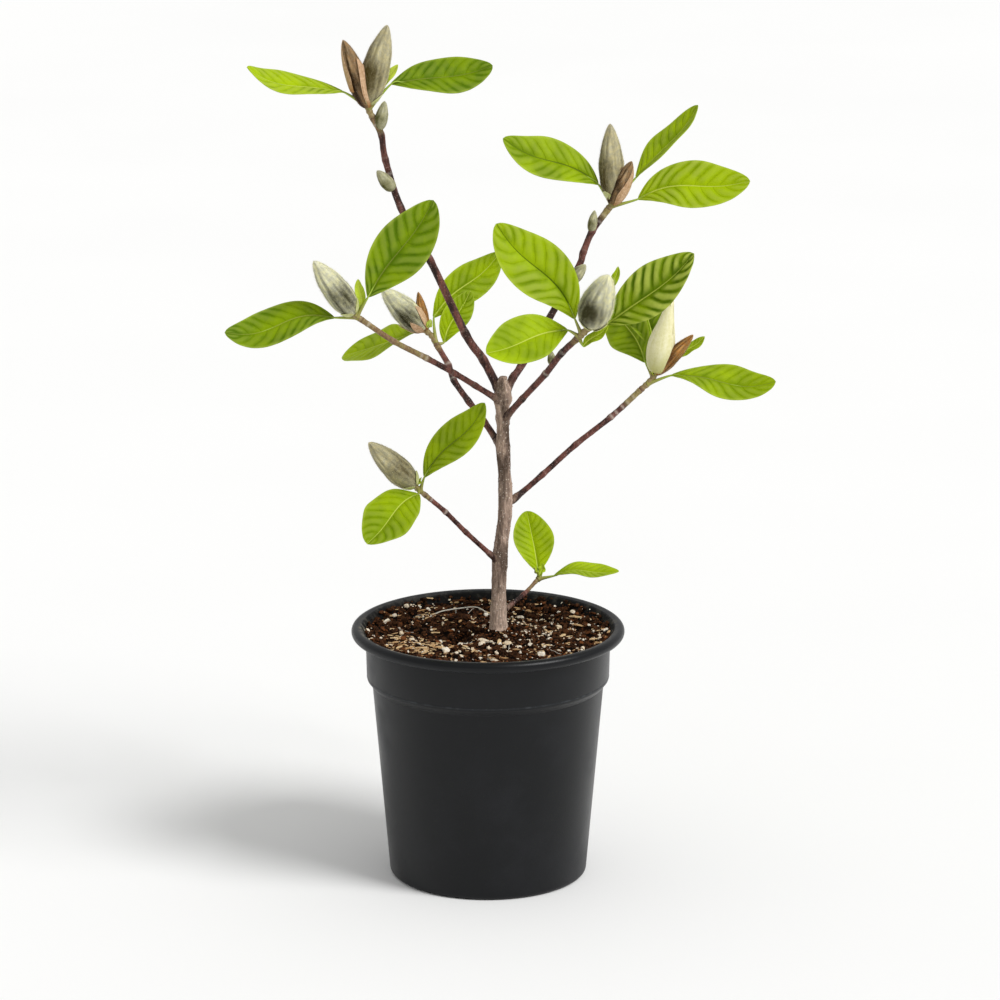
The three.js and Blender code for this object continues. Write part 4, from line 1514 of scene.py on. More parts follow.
@dataclass
class PottingMix:
    """The soil bed with its crumbs, white grains, wood chips and pale fibres."""

    level: float = 148.2
    mound: float = 3.5
    mound_spread: float = 17
    ripple: float = 0.9
    pitch: float = 17
    hollow_x: float = -21
    hollow_y: float = 0
    hollow_depth: float = 8
    hollow_width: float = 15
    bank: float = 1.6
    bank_away: float = 9
    bank_width: float = 5
    rim: float = 1.5
    rim_from: float = 60
    segments: int = 260
    rings: int = 96
    crease: float = 80.0
    clods: float = 2.08
    fibres: int = 12
    fibre_reach: float = 0.85
    fibre_radius: float = 0.16
    root_radius: float = 0.36
    root: Sequence[Sequence[float]] = (
        (-36, 36, 0.4), (-29, 45, 2.4), (-18, 50, 3.4), (-7, 50, 3.0), (2, 44, 0.6))
    reach: float = 74.2
    rng: np.random.Generator = field(default_factory=lambda: np.random.default_rng(SEED))

    def height(self, x: float, y: float) -> float:
        """Gives the height of the mix's surface, all in millimetres.

        Args:
            x, y: Place to the right of the pot's axis and behind it.

        Returns:
            The height over the pot's underside.
        """
        trunk_x, trunk_y, _ = TRUNK_BENDS[0]
        away, radius = math.hypot(x - trunk_x, y - trunk_y), math.hypot(x, y)
        waves = math.sin(TAU * x / self.pitch) * math.cos(TAU * y / self.pitch)
        lumps = noise.fractal(Vector((x, y, 3.0)) / 8, 0.8, 2.1, 6)
        past = radius - self.rim_from
        rim = self.rim * ease(past / 12) + 1.38 * max(0, past - 12)
        return (
            self.level + self.mound * bell(away, self.mound_spread)
            - self.hollow_depth * self.depth(x, y)
            + self.ripple * waves * min(1, away / self.mound_spread) + self.clods * lumps
            + self.bank * bell(away - self.bank_away, self.bank_width) + rim)

    def depth(self, x: float, y: float) -> float:
        """Gives how far a place lies into the hollow, from 0 outside it to 1."""
        return bell(math.hypot(x - self.hollow_x, y - self.hollow_y), self.hollow_width)

    def build(self) -> None:
        """Builds the bed and everything that lies on it."""
        self.bed()
        for litter in LITTERS:
            self.strew(litter)
        self.lay_fibres()

    def bed(self) -> None:
        """Spins the bed and shapes its surface."""
        inset, foot, step = POT.wall + CLEARANCE, POT.foot_corner, POT.step_height
        rim, floor = POT.band_radius - inset, POT.floor + CLEARANCE
        section = [
            (0, floor), (POT.foot_radius - inset, floor),
            (POT.wall_radius(foot) - inset, foot + 1), (POT.wall_radius(step) - inset, step - 1),
            (rim, POT.band_height),
            *((rim * i / self.rings, self.level) for i in range(self.rings, -1, -1)),
        ]
        bm = spun(section, self.segments)
        for vert in bm.verts:
            if vert.co.z > (POT.band_height + self.level) / 2 * MM:
                vert.co.z = self.height(vert.co.x / MM, vert.co.y / MM) * MM
        finished("soil_bed", bm, [EARTH], "soil", ["soil"], self.crease)

    def places(
        self, count: int, sink: float, clumping: float = 0.0, heap: Heap = Heap(),
    ) -> np.ndarray:
        """Deals out places on the surface, fewer of them in the hollow.

        Args:
            count: How many places.
            sink: How far they lie under the surface, in millimetres.
            clumping: From 0, evenly strewn, to 1, all in clumps.
            heap: The heap that a share of them lies in.

        Returns:
            One row of millimetres for each place.
        """
        rows = []
        while len(rows) < count:
            radius, turn = self.reach * math.sqrt(self.rng.uniform()), self.rng.uniform(0, TAU)
            x, y = radius * math.cos(turn), radius * math.sin(turn)
            if self.rng.uniform() < heap.share:
                x, y = self.rng.normal(heap.x, heap.width), self.rng.normal(heap.y, heap.width)
            thick = 0.5 + 1.4 * noise.noise(Vector((x, y, 7.0)) / 11)
            chance = (1 - clumping) + clumping * max(0.0, thick)
            chance *= 1 - 0.9 * self.depth(x, y) * min(1, 2 * clumping)
            if self.rng.uniform() < chance and math.hypot(x, y) < self.reach:
                rows.append((x, y, self.height(x, y) - sink))
        return np.array(rows)

    def strew(self, litter: Litter) -> None:
        """Strews one kind of loose piece and dresses it.

        Args:
            litter: The kind.
        """
        ball, drift = bmesh.new(), Vector((len(litter.name), 0, 0))
        bmesh.ops.create_icosphere(ball, subdivisions=litter.steps, radius=1.0)
        for vert in ball.verts:
            vert.co *= 1 + 0.42 * noise.noise(vert.co * 2.3 + drift)
        share = self.rng.beta(1.1, litter.skew, (litter.count, 1))
        stretch = self.rng.uniform(0.7, 1.3, (litter.count, 3))
        least, most = np.array(litter.least), np.array(litter.most)
        places = self.places(litter.count, litter.sink, litter.clumping, litter.heap)
        sunk = np.array([self.depth(x, y) for x, y, _ in places])
        shades = self.rng.uniform(0, 1, litter.count) ** litter.power
        turns = random_turns(self.rng, litter.count, litter.tilt)
        sizes = (least + (most - least) * share) * stretch * MM
        # Pieces in the hollow are darkened as painted shade.
        shades *= 1 - litter.hollow_painted_shade * sunk
        mesh = scattered(litter.name, ball, places * MM, turns, sizes, shades)
        dressed(litter.name, mesh, [litter.finish], litter.slot)

    def lay_fibres(self) -> None:
        """Lays thin pale fibres and one long arching root on the surface."""
        bm = new_mesh()
        for x, y, _ in self.places(self.fibres, 0.0):
            x, y = x * self.fibre_reach, y * self.fibre_reach
            heading = self.rng.uniform(0, 360)
            points = []
            for _ in range(5):
                points.append((x, y, 1.0))
                heading += self.rng.uniform(-30, 30)
                x += 2.2 * math.cos(math.radians(heading))
                y += 2.2 * math.sin(math.radians(heading))
            self.fibre(bm, points, self.fibre_radius)
        self.fibre(bm, self.root, self.root_radius)
        finished("pale_fibres", bm, [PALE_ROOT], "soil", crease=50.0)

    def fibre(self, bm: BMesh, points: Sequence[Sequence[float]], radius: float) -> None:
        """Adds one fibre.

        Args:
            bm: The mesh it is added to.
            points: Places along it and its height over the mix there, in millimetres.
            radius: Its radius in millimetres.
        """
        curve = Curve([Vector((x, y, self.height(x, y) + lift)) * MM for x, y, lift in points])
        stations = curve.stations(spread(0, curve.length, STALK_STEP), lambda _: radius * MM)
        rod(bm, stations, 6, mark=lambda share: Vector((0.25, share, 0)))


# ---------- trunk and boughs

def drawn_out(place: Vector, across: float, along: float) -> Vector:
    """Scales a place across and along the upright, to draw a noise out."""
    return Vector((place.x * across, place.y * across, place.z * along))


@dataclass
class Trunk:
    """The trunk, from soil level to its fork, with bark relief, knots and pores."""

    foot_radius: float = 4.8
    tip_radius: float = 3.6
    flare: float = 1.8
    flare_height: float = 4
    crown_length: float = 3
    crown_share: float = 0.35
    knot_share: float = 0.28
    knot_above: float = 2
    knot_length: float = 6
    slimmer: float = 0.2
    sides: int = 72
    step: float = 0.7
    sunk: float = 3.0
    curve: Curve = field(init=False)

    def __post_init__(self) -> None:
        """Draws the trunk's middle line."""
        self.curve = Curve([Vector(bend) * MM for bend in TRUNK_BENDS])

    def point(self, height: float) -> Vector:
        """Gives the middle of the trunk at a height in millimetres."""
        low, high = TRUNK_BENDS[0][2], TRUNK_BENDS[-1][2]
        return self.curve.point(self.curve.length * (height - low) / (high - low))

    def radius(self, distance: float) -> float:
        """Gives the trunk's radius, swollen at its foot and under each bough.

        Args:
            distance: Distance from its foot in metres.

        Returns:
            The radius in metres.
        """
        length, away = self.curve.length / MM, distance / MM
        size = lerp(self.foot_radius, self.tip_radius, away / length)
        size += self.flare * math.exp(-max(0, away) / self.flare_height)
        for bough in BOUGHS:
            knot = bough.height + self.knot_above - TRUNK_BENDS[0][2]
            size += self.knot_share * bough.radius * bell(away - knot, self.knot_length)
        top = min(1, (length - away) / self.crown_length)
        return size * math.sqrt(lerp(self.crown_share, 1, max(0, top))) * MM

    def relief(self, point: Vector, turn: float, share: float) -> float:
        """Gives the bark's height: long cracks, lumps, gnarls and small raised pores.

        Args:
            point: The surface point.
            turn: Turn round the trunk in radians.
            share: Share of the way up.

        Returns:
            The height in metres.
        """
        place = point / MM
        cracks = noise.fractal(drawn_out(place, 0.8, 0.2), 0.9, 2.2, 4)
        gnarled = ease((share - 0.74) / 0.2) + 0.7 * ease((0.1 - share) / 0.1)
        pores = max(0.0, noise.noise(drawn_out(place, 0.8, 1.3)) - 0.35)
        height = 0.26 * cracks + 0.4 * noise.noise(place / 8)
        height += 1.1 * gnarled * noise.noise(place / 3.1) + 0.9 * pores
        return (height - self.slimmer) * MM

    @staticmethod
    def marks(share: float) -> Vector:
        """Gives how tan, scarred and old the bark is at a share of the way up."""
        tan = 0.22 + 0.6 * (1 - ease(share / 0.4)) + 0.3 * noise.noise(Vector((share * 6, 0, 0)))
        return Vector((tan, 0, 0.36 * ease(share / 0.3)))

    def build(self) -> None:
        """Builds the trunk and dresses it."""
        bm = new_mesh()
        distances = spread(-self.sunk * MM, self.curve.length, self.step * MM)
        stations = self.curve.stations(distances, self.radius)
        rod(bm, stations, self.sides, self.relief, self.marks)
        finished("trunk_bark", bm, [BARK_OLD], "trunk_bark", ["trunk"])


@dataclass
class Limb:
    """One bough with its collar, nodes, scars and side buds."""

    bough: Bough
    trunk: Trunk
    collar: float = 0.9
    collar_start: float = 4.4
    collar_length: float = 3.5
    node_swell: float = 0.28
    node_length: float = 2.2
    scar_swell: float = 0.16
    scar_length: float = 0.7
    slimmer: float = 0.1
    sides: int = 28
    step: float = 0.6
    start: float = 2
    curve: Curve = field(init=False)

    def __post_init__(self) -> None:
        """Draws the limb's middle line from joint to joint."""
        points = [self.trunk.point(self.bough.height)]
        for length, heading, rise in self.bough.joints:
            points.append(points[-1] + direction(heading, rise) * length * MM)
        self.curve = Curve(points)

    def nodes(self) -> list[float]:
        """Gives the distance of each node in millimetres."""
        return list(accumulate(length for length, _, _ in self.bough.joints))

    def radius(self, distance: float) -> float:
        """Gives the radius, swollen at collar, nodes and scars. Args and Returns: see Trunk."""
        away = distance / MM
        size = lerp(self.bough.radius, self.bough.tip_radius, away / (self.curve.length / MM))
        size += self.collar * math.exp(-max(0, away - self.collar_start) / self.collar_length)
        size += self.node_swell * sum(bell(away - node, self.node_length) for node in self.nodes())
        scars = (bell(away - scar, self.scar_length) for scar in self.bough.scars)
        return (size + self.scar_swell * sum(scars)) * MM

    def marks(self, share: float) -> Vector:
        """Gives how tan, scarred and old the bark is at a share of the way along."""
        away = share * self.curve.length / MM
        rings = sum(bell(away - node - 1, 0.5) for node in self.nodes())
        scars = sum(bell(away - scar, 0.8) for scar in self.bough.scars)
        tan = ease((share - self.bough.tan_from) / 0.05)
        old = 0.85 * (1 - ease((away - 5) / 9))
        return Vector((tan, min(1.0, 0.08 * rings + 0.36 * scars), old))

    def relief(self, point: Vector, turn: float, share: float) -> float:
        """Gives the height of wrinkles, pores and a gnarled foot. Args and Returns: see Trunk."""
        place = point / MM
        wrinkles = noise.fractal(place / 2.2, 1.0, 2.1, 3)
        pores = max(0.0, noise.noise(place * 1.1) - 0.4)
        foot = 1 - ease(share * self.curve.length / MM / 12)
        height = 0.09 * wrinkles + 0.25 * pores + 0.5 * foot * noise.noise(place / 2.6)
        return (height - self.slimmer) * MM

    def build(self) -> None:
        """Builds the limb and dresses it."""
        bm, name = new_mesh(), self.bough.name
        distances = spread(self.start * MM, self.curve.length, self.step * MM)
        stations = self.curve.stations(distances, self.radius)
        rod(bm, stations, self.sides, self.relief, self.marks)
        finished(f"bark_{name}", bm, [BARK_YOUNG], "bough_bark", [name])


# ---------- buds

@dataclass(frozen=True)
class Coat:
    """The hairs on a bud: how many a square millimetre, their size, their lift and their shade.

    The core under them fills `core_share` of the bud's width, and the fur's shade varies by
    `fleck` round `pale`.
    """

    fur: Fur
    core: Fur
    density: float
    length: float
    width: float
    lift: float
    core_share: float
    fleck: float
    pale: float


COATS = {
    BudLook.SILVER: Coat(SILVER_FUR, SILVER_FUR, 9.5, 1.8, 0.052, 11, 0.95, 0.42, 0.74),
    BudLook.TAUPE: Coat(TAUPE_FUR, TAUPE_FUR, 9.5, 1.4, 0.052, 10, 0.97, 0.34, 0.5),
    BudLook.BROWN: Coat(BROWN_FUR, BROWN_CORE, 6.0, 1.4, 0.042, 12, 0.94, 0.5, 0.4),
    BudLook.HUSK: Coat(BROWN_FUR, HUSK, 5.0, 1.3, 0.04, 12, 0.94, 0.6, 0.42),
    BudLook.SIDE: Coat(GREEN_FUR, GREEN_FUR, 8.0, 1.1, 0.052, 11, 0.95, 0.34, 0.44),
}


class FlowerBud:
    """One bud on its stem: a core with a seam, scales or petals, and its hairs."""

    FRONT = Vector((0.0, -1.0, 0.0))
    SHOULDER = 0.72
    LOW_SHOULDER = 0.63
    FULLNESS = 0.62
    SLANT = 0.5
    CLEFT = 0.11
    CLEFT_WIDTH = 0.1
    OVERLAP = 0.08
    GRAIN = 5.0
    CORE_GRID = (48, 40)
    SMALL_GRID = (20, 18)
    SMALL = 20
    WRAP_GRID = (30, 18)
    WRAP_THICKNESS = 0.32
    WRAP_CREASE = 60.0
    WRAP_FLARE = 0.03
    PETAL_FLARE = 0.02
    PETALS = 7
    COVER = 0.72
    LIFTS = (0.3, 1.5)
    LENGTHS = (0.5, 1.15)
    WIDTHS = (0.7, 1.3)
    GUARDS = 0.2
    GUARD_LIFT = 3.0
    GUARD_LENGTH = 1.35
    GUARD_WIDTH = 0.9
    # Guard hairs are paler, partly as pale hairs and partly as a painted highlight for the light
    # they catch at the bud's edges.
    GUARD_PALE_AND_HIGHLIGHT = 0.3

    def __init__(self, bud: Bud, root: Vector, seed: int) -> None:
        """Places the bud; its turns count from the plant's front to its right.

        Args:
            bud: Its sizes in millimetres.
            root: Where it starts, in metres.
            seed: Seed of its hairs.
        """
        self.bud = bud
        self.root = root
        self.ahead = direction(bud.heading, bud.rise)
        self.front = (self.FRONT - self.ahead * self.FRONT.dot(self.ahead)).normalized()
        self.right = self.ahead.cross(self.front)
        self.rng = np.random.default_rng(seed)

    def profile(self, share: float) -> float:
        """Gives the bud's half-width at a share of its length, in metres."""
        held = min(1.0, max(0.0, share))
        shoulder = self.LOW_SHOULDER if self.bud.look is BudLook.CREAM else self.SHOULDER
        return self.bud.radius * math.sin(math.pi * held ** shoulder) ** self.FULLNESS * MM

    def slim(self, share: float) -> float:
        """Gives how far an opening bud narrows towards its tip."""
        return 1 - 0.42 * ease((share - 0.25) / 0.6) if self.bud.look is BudLook.CREAM else 1.0

    def out(self, turn: float) -> Vector:
        """Gives the direction out of the bud at a turn in radians."""
        return self.front * math.cos(turn) + self.right * math.sin(turn)

    def middle(self, share: float) -> Vector:
        """Gives the point on the bud's axis at a share of its length."""
        return self.root + self.ahead * (self.bud.length * share * MM)

    def from_seam(self, share: float, turn: float) -> float:
        """Gives how far a turn lies from the slanting seam, in radians."""
        return turn_from(math.radians(self.bud.seam) + self.SLANT * (share - 0.5), turn)

    def skin(self, share: float, turn: float, scale: float) -> Vector:
        """Gives a point on the bud's skin.

        Args:
            share: Share of the way along.
            turn: Turn round the bud in radians.
            scale: Share of the bud's full width.

        Returns:
            The point in metres.
        """
        away = self.from_seam(share, turn)
        step = self.OVERLAP * ease(away / 0.12 + 0.5) * ease((math.pi * 0.9 - away) / 0.6)
        step -= self.CLEFT * bell(away, self.CLEFT_WIDTH)
        lumps = 0.06 * noise.noise(Vector((math.cos(turn) * 1.3, share * 5, self.bud.length)))
        radius = self.profile(share) * (scale + step * (1 - share * share) + lumps)
        return self.middle(share) + self.out(turn) * radius

    def shade(self, share: float, turn: float) -> float:
        """Gives the fur's shade at a place on the skin, about 0 to 1, with a patch of painted
        shade and painted shade along the seam's cleft. Args: see skin.
        """
        coat, painted_shade = COATS[self.bud.look], self.bud.painted_shade
        flow = Vector((math.cos(turn) * self.GRAIN, math.sin(turn) * self.GRAIN, 3.6 * share))
        # Painted shade: a darker patch on the fur.
        patch = bell(turn_from(math.radians(painted_shade.turn), turn), 0.95)
        patch *= bell(share - painted_shade.share, 0.28)
        # Painted shade along the seam's cleft.
        line = bell(self.from_seam(share, turn), 0.15) * (1 - share * share)
        return coat.pale + coat.fleck * noise.noise(flow) - painted_shade.depth * patch - 0.45 * line

    def core(self, bm: BMesh, scale: float) -> None:
        """Adds the bud's core.

        Args:
            bm: The mesh it is added to.
            scale: Share of the bud's full width.
        """
        rows, sides = self.CORE_GRID if self.bud.length > self.SMALL else self.SMALL_GRID
        shares = [i / rows for i in range(rows + 1)]
        stations = [Station(self.middle(share), self.front, self.right) for share in shares]

        def relief(point: Vector, turn: float, share: float) -> float:
            """Gives the skin's distance from the axis."""
            return (self.skin(share, turn, scale) - self.middle(share)).dot(self.out(turn))

        layer = bm.verts.layers.float_vector["mark"]
        for vert in rod(bm, stations, sides, relief):
            away = vert.co - self.root
            share = away.dot(self.ahead) / (self.bud.length * MM)
            turn = math.atan2(away.dot(self.right), away.dot(self.front))
            vert[layer] = (self.shade(share, turn), share, 0)

    def wrap(self, bm: BMesh, wrap: Wrap, flare: float) -> None:
        """Adds a scale or petal that wraps part of the bud and ends in a point.

        Args:
            bm: The mesh it is added to.
            wrap: Its place and sizes.
            flare: How far its edges lift, as a share of the bud's width.
        """
        def place(across: float, along: float) -> Vector:
            """Gives a point of its surface, in metres."""
            share = lerp(wrap.start, wrap.end, along)
            wide = max(0.0, 1 - along ** 1.8) ** 0.8 * (0.72 + 0.28 * ease(along / 0.35))
            angle = math.radians(wrap.turn + across * wrap.span / 2 * wide)
            radius = max(self.profile(share) * self.slim(share), 0.4 * MM)
            wave = 0.02 * math.sin(6 * along + wrap.turn)
            rise = wrap.swell * (1 + flare * across * across + wave)
            return self.middle(share) + self.out(angle) * (radius * rise)

        def mark(across: float, along: float) -> Vector:
            """Gives the share across, shifted for each scale, and along."""
            return Vector((across * 0.5 + wrap.turn / 40, along, 0))

        before = set(bm.faces)
        sheet_solid(bm, *self.WRAP_GRID, place, mark, self.WRAP_THICKNESS * MM)
        kind = list(WRAP_FINISHES).index(wrap.husk)
        for face in set(bm.faces) - before:
            face.material_index = kind

    def petals(self) -> list[Wrap]:
        """Gives the cream petals, the outer ones wider and lower."""
        return [
            Wrap(-20 + 137.5 * i, 190 - 10 * i, 0.93 + 0.012 * i, swell=0.99 - 0.03 * i)
            for i in range(self.PETALS)]

    def hairs(self, coat: Coat, name: str) -> bpy.types.Mesh:
        """Makes the bud's hairs as one mesh of fine pointed spikes.

        Args:
            coat: What hairs it has.
            name: The mesh's name.

        Returns:
            The joined mesh.
        """
        bud, rng = self.bud, self.rng
        count = int(TAU * bud.radius * bud.length * self.COVER * coat.density)
        shares = rng.uniform(0.0, 1.0, 4 * count)
        full = np.sin(np.pi * shares ** self.SHOULDER) ** self.FULLNESS
        shares = shares[rng.uniform(0, 1, 4 * count) < full][:count]
        count = len(shares)
        turns = rng.uniform(0, TAU, count)
        roots, heads, shades = [], [], []
        for share, turn in zip(shares, turns):
            here, further = (
                self.skin(place, turn, coat.core_share - 0.01)
                for place in (share, min(share + 0.02, 0.999)))
            roots.append(here)
            heads.append((further - here).normalized())
            shades.append(self.shade(share, turn))
        outs = np.array([self.out(turn) for turn in turns])
        guard = rng.uniform(0, 1, count) < self.GUARDS
        steep = np.where(guard, self.GUARD_LIFT, 1.0) * coat.lift * rng.uniform(*self.LIFTS, count)
        lift = np.tan(np.radians(steep))[:, None]
        along = np.array(heads) + outs * lift + rng.normal(0, 0.12, (count, 3))
        along /= np.linalg.norm(along, axis=1, keepdims=True)
        side = np.cross(along, outs + 1e-3)
        side /= np.linalg.norm(side, axis=1, keepdims=True)
        matrices = np.stack([side, np.cross(along, side), along], axis=2)
        near_tip = np.clip((shares - 0.85) / 0.15, 0, 1)
        long = coat.length * min(1.0, bud.length / 30) * rng.uniform(*self.LENGTHS, count)
        long *= (1 - 0.5 * near_tip) * np.where(guard, self.GUARD_LENGTH, 1.0)
        wide = coat.width * rng.uniform(*self.WIDTHS, count)
        wide *= np.where(guard, self.GUARD_WIDTH, 1.0)
        sizes = np.stack([wide, wide, long], axis=1) * MM
        shades = np.clip(np.array(shades) + rng.normal(0, 0.2, count), 0, 1)
        # Guard hairs get a paler shade: pale hairs and painted highlight.
        shades += np.where(guard, self.GUARD_PALE_AND_HIGHLIGHT, 0.08)
        spike = bmesh.new()
        bmesh.ops.create_cone(
            spike, cap_ends=True, cap_tris=False, segments=3, radius1=0.5, radius2=0.0,
            depth=1.0, matrix=Matrix.Translation((0, 0, 0.5)))
        return scattered(name, spike, np.array(roots), matrices, sizes, shades, True)

    def build(self, name: str, nodes: Sequence[str]) -> None:
        """Builds the bud's pieces and dresses them.

        Args:
            name: The name that the pieces share.
            nodes: The part's nodes that they stand for.
        """
        if self.bud.look is BudLook.CREAM:
            self.wrapped(f"petals_{name}", self.petals(), self.PETAL_FLARE, [CREAM_PETAL],
                         "petal", nodes)
            return
        coat, core = COATS[self.bud.look], new_mesh()
        self.core(core, coat.core_share)
        finished(f"bud_{name}", core, [coat.core], "bud_fur", nodes)
        if self.bud.wraps:
            self.wrapped(f"scales_{name}", self.bud.wraps, self.WRAP_FLARE,
                         list(WRAP_FINISHES.values()), "bud_fur", nodes)
        furs = self.hairs(coat, f"fur_{name}")
        dressed(f"fur_{name}", furs, [coat.fur], "bud_fur", nodes)

    def wrapped(
        self, name: str, wraps: Sequence[Wrap], flare: float, finishes: Sequence[Finish],
        slot: str, nodes: Sequence[str],
    ) -> None:
        """Builds the bud's scales or petals as one piece.

        Args:
            name: The piece's name.
            wraps: The scales or petals.
            flare: How far their edges lift, as a share of the bud's width.
            finishes, slot, nodes: See dressed.
        """
        bm = new_mesh()
        for wrap in wraps:
            self.wrap(bm, wrap, flare)
        finished(name, bm, finishes, slot, nodes, self.WRAP_CREASE)


def dress_buds(
    short: str, buds: Sequence[Bud], roots: Sequence[Vector], seed: int, node: str,
) -> None:
    """Builds the buds of one mass or bough, each kind of piece apart.

    Args:
        short: The name that the pieces share.
        buds: The buds.
        roots: Where each bud starts, in metres.
        seed: Seed of their hairs.
        node: The part's node that they stand for.
    """
    for number, (bud, root) in enumerate(zip(buds, roots)):
        FlowerBud(bud, root, SEED + seed + number).build(f"{short}_{number}", [node])


# ---------- foliage

@dataclass(frozen=True)
class TipScales:
    """The short scales left round a stem's tip, turned on from one another."""

    count: int = 2
    at: float = 0.75
    turn: float = 137.5
    turn_spread: float = 40
    rise: float = 58
    rise_spread: float = 12
    length: float = 8
    least_share: float = 0.8
    share_spread: float = 0.5
    width: float = 4
    curl: float = -20
    fold: float = 12
    tone: float = -0.3

    def dealt(self, heading: float, chance: Chance) -> list[Leaf]:
        """Deals out the scales of one stem.

        Args:
            heading: The stem's heading in degrees.
            chance: The mass's seeded numbers.

        Returns:
            The scales, as small leaves with no stalk.
        """
        made = []
        for i in range(self.count):
            turned = heading + self.turn * i + self.turn_spread * chance()
            rise = self.rise + self.rise_spread * chance()
            length = self.length * (self.least_share + self.share_spread * chance())
            made.append(Leaf(
                self.at, (), turned, rise, length, self.width, 0, self.curl, self.fold,
                tone=self.tone, pleat=0))
        return made


@dataclass
class Foliage:
    """One mass: its green stem, leaves, stalks and buds."""

    mass: Mass
    limb: Limb
    index: int
    rows: int = 72
    half_columns: int = 13
    small_rows: int = 20
    small_half_columns: int = 4
    small_length: float = 30
    thickness: float = 0.34
    foot_width: float = 1.6
    widest: float = 0.52
    foot_fullness: float = 0.86
    tip_fullness: float = 0.62
    wave: float = 0.9
    least_wave: float = 0.5
    fewest_waves: float = 1.5
    quilt: float = 0.55
    groove: float = 0.55
    stalk_radii: tuple[float, float, float] = (1.3, 0.55, 0.25)
    stalk_sides: int = 10
    stem_sides: int = 20
    stem_step: float = 0.5
    stem_sunk: float = 1.5
    leaf_crease: float = 42.0
    stem: Curve = field(init=False)

    GATHER = 1.35
    RIB_SHARES = (0.125, 0.3, 0.5, 0.7)
    BUD_SEEDS = 100

    def __post_init__(self) -> None:
        """Draws the stem that grows on from the bough's tip."""
        tip = self.limb.curve.point(self.limb.curve.length)
        outward = self.limb.curve.tangent(self.limb.curve.length)
        length, heading, rise = self.mass.stem
        start = tip + outward * CLEARANCE * MM
        middle = start + outward * length / 2 * MM
        self.stem = Curve([start, middle, middle + direction(heading, rise) * length / 2 * MM])

    def half_width(self, leaf: Leaf, share: float) -> float:
        """Gives a blade's half-width at a share of its length, in millimetres."""
        power = math.log(0.5) / math.log(self.widest)
        fullness = lerp(self.foot_fullness, self.tip_fullness, share)
        outline = max(0.0, math.sin(math.pi * share ** power)) ** fullness
        return (self.foot_width * (1 - share) + leaf.width * outline) / 2

    @staticmethod
    def rise(leaf: Leaf, along: float) -> float:
        """Gives a blade's rise at a place from -0.5 at its foot to 0.5 at its tip."""
        return leaf.rise - leaf.curl * along - leaf.sway * math.cos(TAU * along)

    def spine(self, leaf: Leaf, start: Vector, rows: int) -> list[Station]:
        """Walks down the middle of a blade.

        Args:
            leaf: The leaf.
            start: Where the blade starts, in metres.
            rows: Number of steps.

        Returns:
            A station for each row, as wide as the blade.
        """
        point, stations = start.copy(), []
        for i in range(rows + 1):
            here, after = i / rows - 0.5, (i + 0.5) / rows - 0.5
            side, face = frame_along(
                leaf.heading + leaf.turn * here, self.rise(leaf, here),
                leaf.roll + leaf.twist * here)
            half = 0.0 if i == rows else self.half_width(leaf, i / rows) * MM
            stations.append(Station(point.copy(), side, face, half))
            ahead = direction(leaf.heading + leaf.turn * after, self.rise(leaf, after))
            point += ahead * (leaf.length / rows * MM)
        return stations

    def gathered(self, column: float) -> float:
        """Gives the share across at a column from -1 to 1, closer by the midrib."""
        return math.copysign(abs(column) ** self.GATHER, column)

    def blade(self, bm: BMesh, leaf: Leaf, start: Vector, chance: Chance) -> list[Station]:
        """Adds one blade with its folds, waves and quilting between the veins.

        Args:
            bm: The mesh it is added to.
            leaf: The leaf.
            start: Where the blade starts, in metres.
            chance: The mass's seeded numbers.

        Returns:
            The blade's spine.
        """
        waves = self.fewest_waves + chance()
        phase = TAU * chance()
        wave = self.wave * (self.least_wave + chance())
        rows, half_columns, relief = self.rows, self.half_columns, 1.0
        if leaf.length < self.small_length:
            rows, half_columns = self.small_rows, self.small_half_columns
            relief = 0.25
        spine = self.spine(leaf, start, rows)
        lift = math.tan(math.radians(leaf.fold))

        def height(across: float, share: float, half: float) -> float:
            """Gives the surface's height over the spine, in millimetres."""
            out, swell = abs(across), math.sin(math.pi * share)
            swing = math.sin(math.copysign(1, across) + phase + TAU * waves * share)
            offset = LeafVeins.STAGGER if across > 0 else 0
            vein = share * VEIN_COUNT - VEIN_RAKE * out ** VEIN_BEND + offset
            bulge = abs(math.sin(math.pi * vein)) ** 0.7 * ease(out / 0.3) * (1 - out ** 4)
            bulge *= (0.6 + leaf.pleat) * min(1.0, 4 * swell)
            rib = bell(out * half, 0.8) * (1 - share)
            quilted = relief * (self.quilt * bulge - self.groove * rib)
            return half * out * lift + wave * out * out * swing * swell + quilted

        def place(column: float, share: float) -> Vector:
            """Gives a point of the surface, in metres."""
            station, across = spine[round(share * rows)], self.gathered(column)
            over = height(across, share, station.width / MM) * MM
            return station.point + station.side * (station.width * across) + station.face * over

        def mark(column: float, share: float) -> Vector:
            """Gives the share across, the share along and the half-width in millimetres."""
            return Vector((self.gathered(column), share, self.half_width(leaf, share)))

        faces = sheet_solid(bm, rows, 2 * half_columns, place, mark, self.thickness * MM)
        bmesh.ops.recalc_face_normals(bm, faces=faces)
        up, layer = spine[rows // 2].face, bm.verts.layers.float_vector["tint"]
        for face in faces:
            face.material_index = 0 if face.normal.dot(up) > 0 else 1
            for vert in face.verts:
                vert[layer] = (leaf.tone, leaf.rib, leaf.pleat)
        return spine

